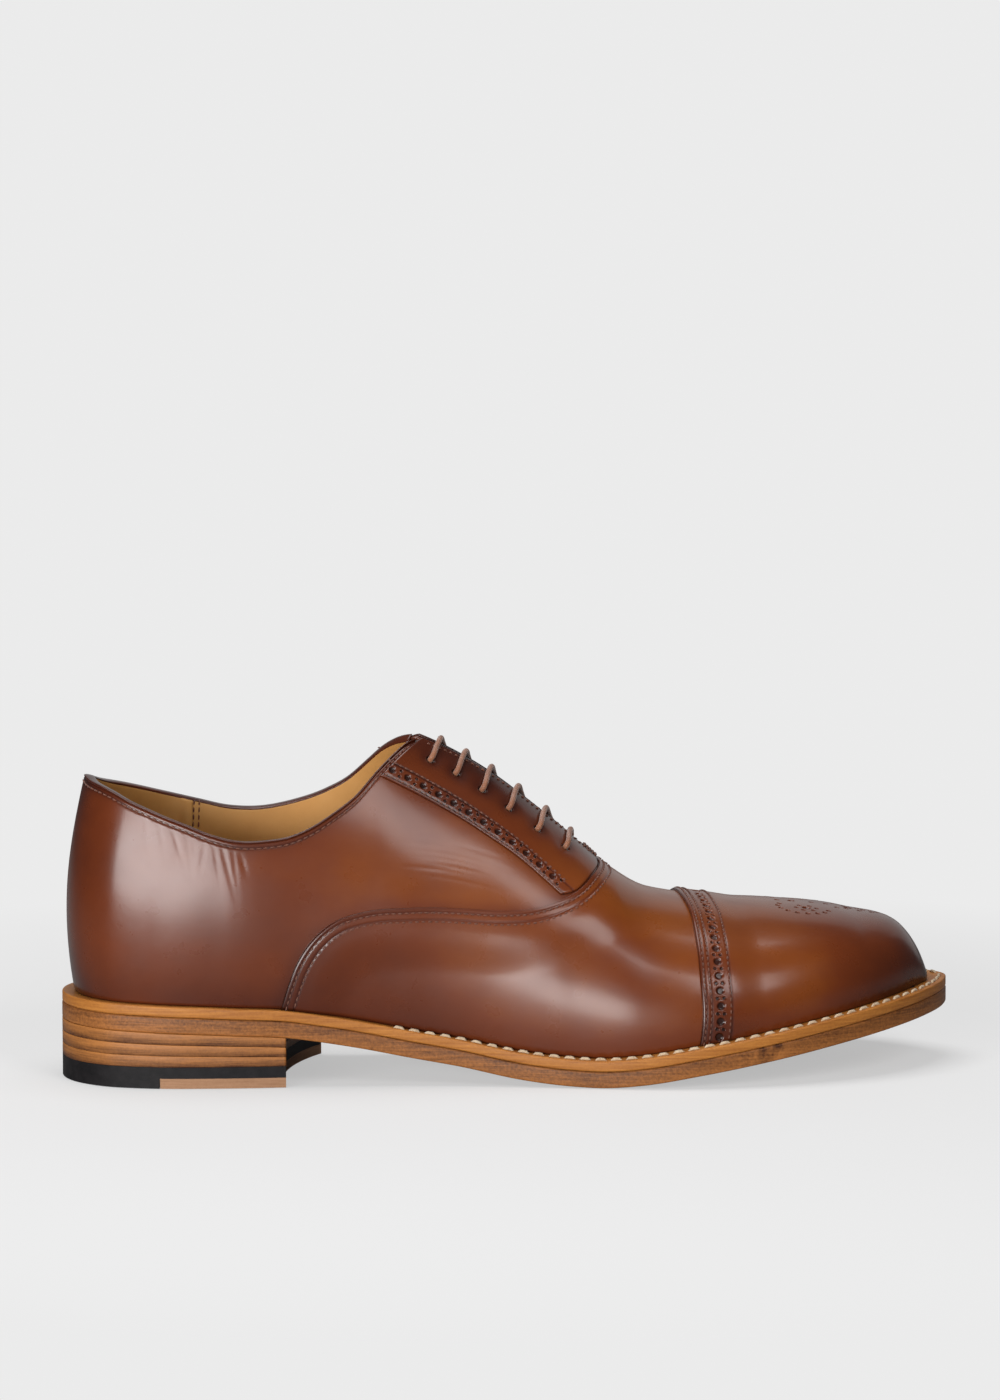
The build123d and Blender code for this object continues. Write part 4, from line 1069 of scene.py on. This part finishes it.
def binding_piece():
    """Rolled leather edge around the topline."""
    steps, around_ = 420, 14
    k = np.linspace(-1, 1, steps)
    s = k * (FACING_TOP[0] - BINDING_STOP_S)
    t = rim_around(s) + BINDING_GAP_T
    verts = []
    middle = 0.5 * (BINDING[0] + BINDING[1])
    half = 0.5 * (BINDING[0] - BINDING[1])
    rise = unit(around(s, t + 0.02, 0 * s + middle) - around(s, t, 0 * s + middle))
    for angle in 2 * np.pi * np.arange(around_) / around_:
        out = middle + half * np.sign(np.cos(angle)) * abs(np.cos(angle)) ** 0.7
        up = 0.55 * np.sin(angle)
        verts.append(around(s, t, 0 * s + out) + rise * up)
    verts = np.stack(verts, 1).reshape(-1, 3)
    faces = tube_faces(steps, around_)
    tone = np.full(len(verts), 0.72)
    obj = make_object("topline_binding_leather", verts, faces, LEATHER, tone=tone)
    fix_normals(obj)
    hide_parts("topline_binding")


def tongue_piece():
    """The tongue and its lining, which move together."""
    def points(drop, narrow=0.0):
        run, across = grid(130, 71)
        s = TONGUE_S[0] + run * (TONGUE_S[1] - TONGUE_S[0])
        k = (2 * across - 1) * (1 - narrow)
        soft = np.sqrt((k**2 + TONGUE_CROWN) / (1 + TONGUE_CROWN))
        t = 1 - (1 - TONGUE_EDGE_T) * soft
        mean = 0.5 * (shape(-1, s, t) + shape(1, s, t))
        wide = 0.5 * (shape(1, s, TONGUE_EDGE_T) - shape(-1, s, TONGUE_EDGE_T))[..., 1]
        y = 0.5 * (shape(1, s, 1.0) + shape(-1, s, 1.0))[..., 1] + k * (wide - TONGUE_SIDE_PLAY)
        e = 1e-3
        rise = shape(-1, s + e, 1.0) - shape(-1, s - e, 1.0)
        slope = np.arctan2(rise[..., 2], rise[..., 0])
        return np.stack([mean[..., 0] + drop * np.sin(slope), y, mean[..., 2] - drop * np.cos(slope)], -1)

    lining_drop = TONGUE_DROP + TONGUE_T + TONGUE_GLUE
    for name, first, thickness, narrow, material, slot in (
            ("tongue", TONGUE_DROP, TONGUE_T, 0.0, LEATHER, "upper_leather"),
            ("tongue_lining", lining_drop, TONGUE_LINING_T, TONGUE_NARROW, LINING_MAT, "lining_leather")):
        verts, faces = thick_mesh(points(first, narrow), points(first + thickness, narrow))
        tone = np.full(len(verts), 0.55)
        obj = make_object(f"{name}_leather", verts, faces, material, "tongue_flap", tone)
        fix_normals(obj)
        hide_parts(name)


# ------------------------------------------------------------------ lace
def rounded(points, passes=2):
    for _ in range(passes):
        a, b = points[:-1], points[1:]
        cut = np.empty((2 * len(a), 3))
        cut[0::2] = 0.75 * a + 0.25 * b
        cut[1::2] = 0.25 * a + 0.75 * b
        points = np.vstack([points[0], cut, points[-1]])
    return points


def lace_route():
    """Centre line of the lace: slanting bars over the facings, straight runs under the linings."""
    above = FACING[0] + 0.5 * LACE_D + 0.35
    below = LINING[1] - 0.5 * LACE_D - 0.5

    def through(side, eyelet, first, last):
        s, t = eyelet
        high = EYELET_RISE if last > first else -EYELET_RISE
        return [layer(side, s, t, h) for h in (first - high, 0.5 * (first + last), last + high)]

    def across(start, end, side, height):
        """Points between two eyelets on opposite sides, over or under the crest."""
        run = []
        for q in (0.22, 0.36, 0.5, 0.64, 0.78):
            s = start[0] + q * (end[0] - start[0])
            g = side * ((1 - start[1]) + q * (start[1] + end[1] - 2))
            pair = [layer(this, s, 1 - abs(g), height) for this in (-1, 1)]
            run.append(0.5 * (pair[0] + pair[1]) if q == 0.5 else pair[0 if g < 0 else 1])
        return run

    first = EYELETS[0]
    points = [layer(-1, first[0] + k * TAIL_STEP_S, first[1] - TAIL_DROP_T - k * TAIL_STEP_T, below)
              for k in (5, 3, 1)]
    for near, far in zip(EYELETS[:-1], EYELETS[1:]):
        points.extend(through(-1, near, below, above))
        points.extend(across(near, far, -1, above))
        points.extend(through(1, far, above, below))
        points.extend(across(far, far, 1, below))
    last = EYELETS[-1]
    points.extend(through(-1, last, below, above))
    points.append(layer(-1, last[0] + 0.35 * THROAT_TUCK_S, 0.5 * (1 + last[1]), above))
    tuck = [(0.7, above), (1.0, 0.2), (1.15, 0.6 * below)]
    tuck += [(1.45, below - 0.8), (2.0, below - 1.2), (2.5, below - 1.3)]
    points.extend(crest(last[0] + forward * THROAT_TUCK_S, height) for forward, height in tuck)
    return np.array(points)


def lace_piece():
    route = rounded(lace_route(), 3)
    walk = walked(route)
    marks = np.arange(0, walk[-1], 0.45)
    route = np.stack([np.interp(marks, walk, route[:, k]) for k in range(3)], -1)
    squeeze = 1.0 + 0.05 * np.sin(marks * 2 * np.pi / 1.3)
    verts, faces = tube_mesh(route, LACE_D / 2, 14, squeeze)
    obj = make_object("lace_cord", verts, faces, LACE_MAT)
    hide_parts("lace")


# ------------------------------------------------------------------ bottom
def bottom_slab(name, low, high, material, inset=0.0, soft=0.6, ends=(1.0, 1.0), hollow=0.0, rows=260,
                columns=25, tone_of=None, profile=7, node=None):
    """A closed slab following the sole outline between two height curves, with softened edges.

    ends are the shares of the lateral and medial outline that it reaches; hollow bows its front edge."""
    k = np.linspace(0, 1, rows)
    w = [k * ends[0], k * ends[1]]
    front = ends[0] < 1.0

    def rim(extra):
        sides = []
        for side, share in ((-1, w[0]), (1, w[1])):
            p, _, n = outline(side, share)
            sides.append(p - n * (inset + extra))
        return sides

    def cross(extra):
        left, right = rim(extra)
        j = np.linspace(0, 1, columns)[None, :, None]
        flat = left[:, None] * (1 - j) + right[:, None] * j
        bow = 4 * j * (1 - j) * (k[:, None, None] ** 3) * hollow
        chord = right - left
        length = np.maximum(np.linalg.norm(chord, axis=-1, keepdims=True), 1e-9)
        back = np.stack([-chord[:, 1], chord[:, 0]], -1) / length
        flat = flat + back[:, None] * bow
        if front:
            flat[-1] = flat[-1] + back[-1] * extra
        return flat

    plans = cross(soft)
    angles = np.linspace(0, np.pi / 2, profile)
    edges = [cross(soft * (1 - np.sin(a))) for a in angles]

    def loop_of(flat):
        parts = [flat[:, 0], flat[-1, 1:-1], flat[::-1, -1]] if front else [flat[:, 0], flat[::-1, -1]]
        return np.vstack(parts)

    loops = [loop_of(flat) for flat in edges]
    lifts = soft * (1 - np.cos(angles))
    rings = [np.column_stack([loop, low(loop[:, 0]) + lift]) for loop, lift in zip(loops, lifts)]
    rings += [np.column_stack([loop, high(loop[:, 0]) - lift])
              for loop, lift in zip(loops[::-1], lifts[::-1])]
    ring = np.array(rings)
    verts = [ring.reshape(-1, 3)]
    count, length = ring.shape[:2]
    faces = tube_faces(count, length)[:-2]
    start = count * length
    for height, flip in ((low, True), (high, False)):
        cap = np.column_stack([plans.reshape(-1, 2), height(plans.reshape(-1, 2)[:, 0])])
        verts.append(cap)
        faces.extend(map(tuple, grid_faces(rows, columns, start, flip).tolist()))
        start += len(cap)
    verts = np.vstack(verts)
    tone = np.zeros(len(verts)) if tone_of is None else tone_of(verts)
    obj = make_object(name, verts, faces, material, tone=tone)
    fix_normals(obj, 2e-6)
    obj.data.polygons.foreach_set("use_smooth", [True] * len(obj.data.polygons))
    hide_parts(node)


def share_at(side, x):
    w = np.linspace(0, 0.5, 4000)
    p, _, _ = outline(side, w)
    return float(w[np.argmax(p[:, 0] > x)])


SCUFF_X = 82.0


def sole_tone(verts):
    """Lighter burnished line along the bottom edge of the sole."""
    z = verts[:, 2] - sole_bottom(verts[:, 0])
    tone = 0.34 * ridge(z, 0, 0.9) - 0.10 * ridge(z, 3.0, 1.6)
    scuff = ridge(verts[:, 0], SCUFF_X, 6.0) * (verts[:, 1] < 0)
    return tone + 0.5 * scuff * soft_noise(verts, 0.8, 71)


def bottom_pieces():
    def top(x):
        return sole_bottom(x) + OUTSOLE_T

    bottom_slab("outsole_leather", sole_bottom, top, SOLE_MAT, soft=0.7, tone_of=sole_tone,
                node="outsole")
    bottom_slab("welt_strip", lambda x: top(x) + 0.04, welt_top, WELT_MAT, inset=0.05,
                node="welt")
    ends = (share_at(-1, BREAST_LATERAL_X), share_at(1, BREAST_MEDIAL_X))

    def level(k):
        return lambda x: RUBBER_T + (sole_bottom(x) - RUBBER_T) * k / LIFT_COUNT

    def lift_tone(k):
        low, high = level(k), level(k + 1)

        def tone(v):
            foot = v[:, 2] < low(v[:, 0]) + 1.5
            return 0.45 * ridge(high(v[:, 0]), v[:, 2], 0.55) + 0.06 * (k % 2) - 0.12 * foot

        return tone

    for k in range(LIFT_COUNT):
        bottom_slab(f"heel_lift_{k + 1}_leather", level(k), lambda x, k=k: level(k + 1)(x) - 0.03, LIFT_MAT,
                    soft=0.22, ends=ends, hollow=BREAST_HOLLOW, rows=140, columns=31,
                    tone_of=lift_tone(k), profile=4, node=f"heel_lift_{k + 1}")


def welt_stitch_pieces():
    rows = []
    for side in (-1, 1):
        w = np.linspace(0, 1, 3000)
        p, d, n = outline(side, w)
        p = p - n * np.minimum(STITCH_INSET, margin(w) - VAMP_LAP - STITCH_CLEAR)[:, None]
        walk = walked(p)
        start = walk[np.argmax(p[:, 0] > STITCH_START_X)]
        marks = start + (np.arange(int((walk[-1] - start) / STITCH_PITCH)) + 0.5) * STITCH_PITCH
        i = np.searchsorted(walk, marks)
        slope = (welt_top(p[i, 0] + 1) - welt_top(p[i, 0] - 1)) / 2
        points = np.column_stack([p[i], welt_top(p[i, 0]) + 0.1])
        direction = unit(np.column_stack([d[i], slope * d[i, 0]]))
        up = np.column_stack([-slope, 0 * slope, 1 + 0 * slope])
        up = unit(up - direction * (up * direction).sum(1, keepdims=True))
        rows.append((points, up, direction))
    verts, faces = stitch_mesh(rows, length=4.3, radius=0.55, sink=0.5)
    obj = make_object("welt_stitches", verts, faces, WELT_THREAD)
    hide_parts("welt_stitching")


for shoe_side in (-1, 1):
    quarter_piece(shoe_side)
    facing_piece(shoe_side)
vamp_piece()
toe_cap_piece()
lining_pieces()
binding_piece()
tongue_piece()
lace_piece()
bottom_pieces()
welt_stitch_pieces()


# ------------------------------------------------------------------ floor, light and camera
def add_area(name, place, target, size, power, tilt=0.0):
    data = bpy.data.lights.new(name, "AREA")
    data.shape = "RECTANGLE"
    data.size, data.size_y = size
    data.energy = power
    obj = bpy.data.objects.new(name, data)
    obj.location = place
    obj.rotation_euler = (Vector(target) - Vector(place)).to_track_quat("-Z", "Y").to_euler()
    obj.rotation_euler.rotate_axis("Z", np.radians(tilt))
    obj.visible_camera = False
    bpy.context.scene.collection.objects.link(obj)


PAGE = 0.832
FLOOR_SHARE = 0.45


def floor():
    """Page-bright plane that takes the shoe's shadow near it and fades to plain light further away."""
    m = Nodes("floor")
    m.tree.nodes.remove(m.shader)
    place = m.new("NewGeometry").outputs["Position"]
    far = m.new("VectorMath")
    far.operation = "LENGTH"
    m.set(far.inputs[0], place)
    fade = m.new("MapRange", Value=far.outputs["Value"], From_Min=0.20, From_Max=0.42,
                 To_Min=FLOOR_SHARE, To_Max=0.0)
    seen = m.new("LightPath").outputs["Is Camera Ray"]
    share = m.math("MAXIMUM", fade.outputs["Result"], m.math("SUBTRACT", 1.0, seen))
    glow = m.new("Emission", Color=(PAGE, PAGE, PAGE, 1))
    lit = m.new("BsdfDiffuse", Color=m.math("MULTIPLY_ADD", seen, 0.50, 0.30))
    mix = m.new("MixShader", Fac=share)
    m.set(mix.inputs[1], glow.outputs[0])
    m.set(mix.inputs[2], lit.outputs[0])
    m.set(m.tree.nodes["Material Output"].inputs["Surface"], mix.outputs[0])
    mesh = bpy.data.meshes.new("floor")
    r = 3.0
    z = -0.0002
    mesh.from_pydata([(-r, -r, z), (r, -r, z), (r, r, z), (-r, r, z)], [], [(0, 1, 2, 3)])
    mesh.materials.append(m.material)
    obj = bpy.data.objects.new("floor", mesh)
    bpy.context.scene.collection.objects.link(obj)


def world():
    """The camera sees a page-bright background; all other rays meet a dim one."""
    studio = bpy.data.worlds.new("studio")
    bpy.context.scene.world = studio
    studio.use_nodes = True
    tree = studio.node_tree
    back = tree.nodes["Background"]
    back.inputs["Color"].default_value = (PAGE, PAGE, PAGE, 1)
    dim = tree.nodes.new("ShaderNodeBackground")
    dim.inputs["Color"].default_value = (0.07, 0.07, 0.073, 1)
    mix = tree.nodes.new("ShaderNodeMixShader")
    path = tree.nodes.new("ShaderNodeLightPath")
    tree.links.new(path.outputs["Is Camera Ray"], mix.inputs["Fac"])
    tree.links.new(dim.outputs[0], mix.inputs[1])
    tree.links.new(back.outputs[0], mix.inputs[2])
    tree.links.new(mix.outputs[0], tree.nodes["World Output"].inputs["Surface"])


def camera():
    """Long lens, low and slightly towards the heel, aimed above the shoe."""
    azimuth, elevation = np.radians(-6.5), np.radians(6.3)
    distance, lens = 1.900, 143.2
    right = np.array([np.cos(azimuth), np.sin(azimuth), 0])
    up = np.array([-np.sin(azimuth) * np.sin(elevation), np.cos(azimuth) * np.sin(elevation),
                   np.cos(elevation)])
    ahead = np.cross(up, right)
    aim = -0.00324 * right + 0.1244 * up
    place = aim - distance * ahead
    data = bpy.data.cameras.new("camera")
    data.lens = lens
    data.sensor_width = 36.0
    data.clip_start = 0.05
    obj = bpy.data.objects.new("camera", data)
    obj.location = place
    obj.rotation_euler = Vector(ahead).to_track_quat("-Z", "Y").to_euler()
    bpy.context.scene.collection.objects.link(obj)
    bpy.context.scene.camera = obj


floor()
world()
camera()
add_area("left_front", (-0.64, -1.00, 0.20), (-0.08, 0.0, 0.07), (1.20, 0.30), 17.5, -11.0)
add_area("right_high", (0.46, -1.02, 0.78), (0.02, 0.0, 0.06), (0.46, 0.46), 4.6)
add_area("overhead", (-0.12, 0.10, 1.25), (0.0, 0.0, 0.05), (0.8, 0.9), 10.0)
add_area("back_wall", (0.45, 1.35, 0.60), (0.0, 0.0, 0.08), (2.0, 1.1), 3.0)
scene = bpy.context.scene
scene.view_settings.view_transform = "Standard"
scene.view_settings.look = "None"
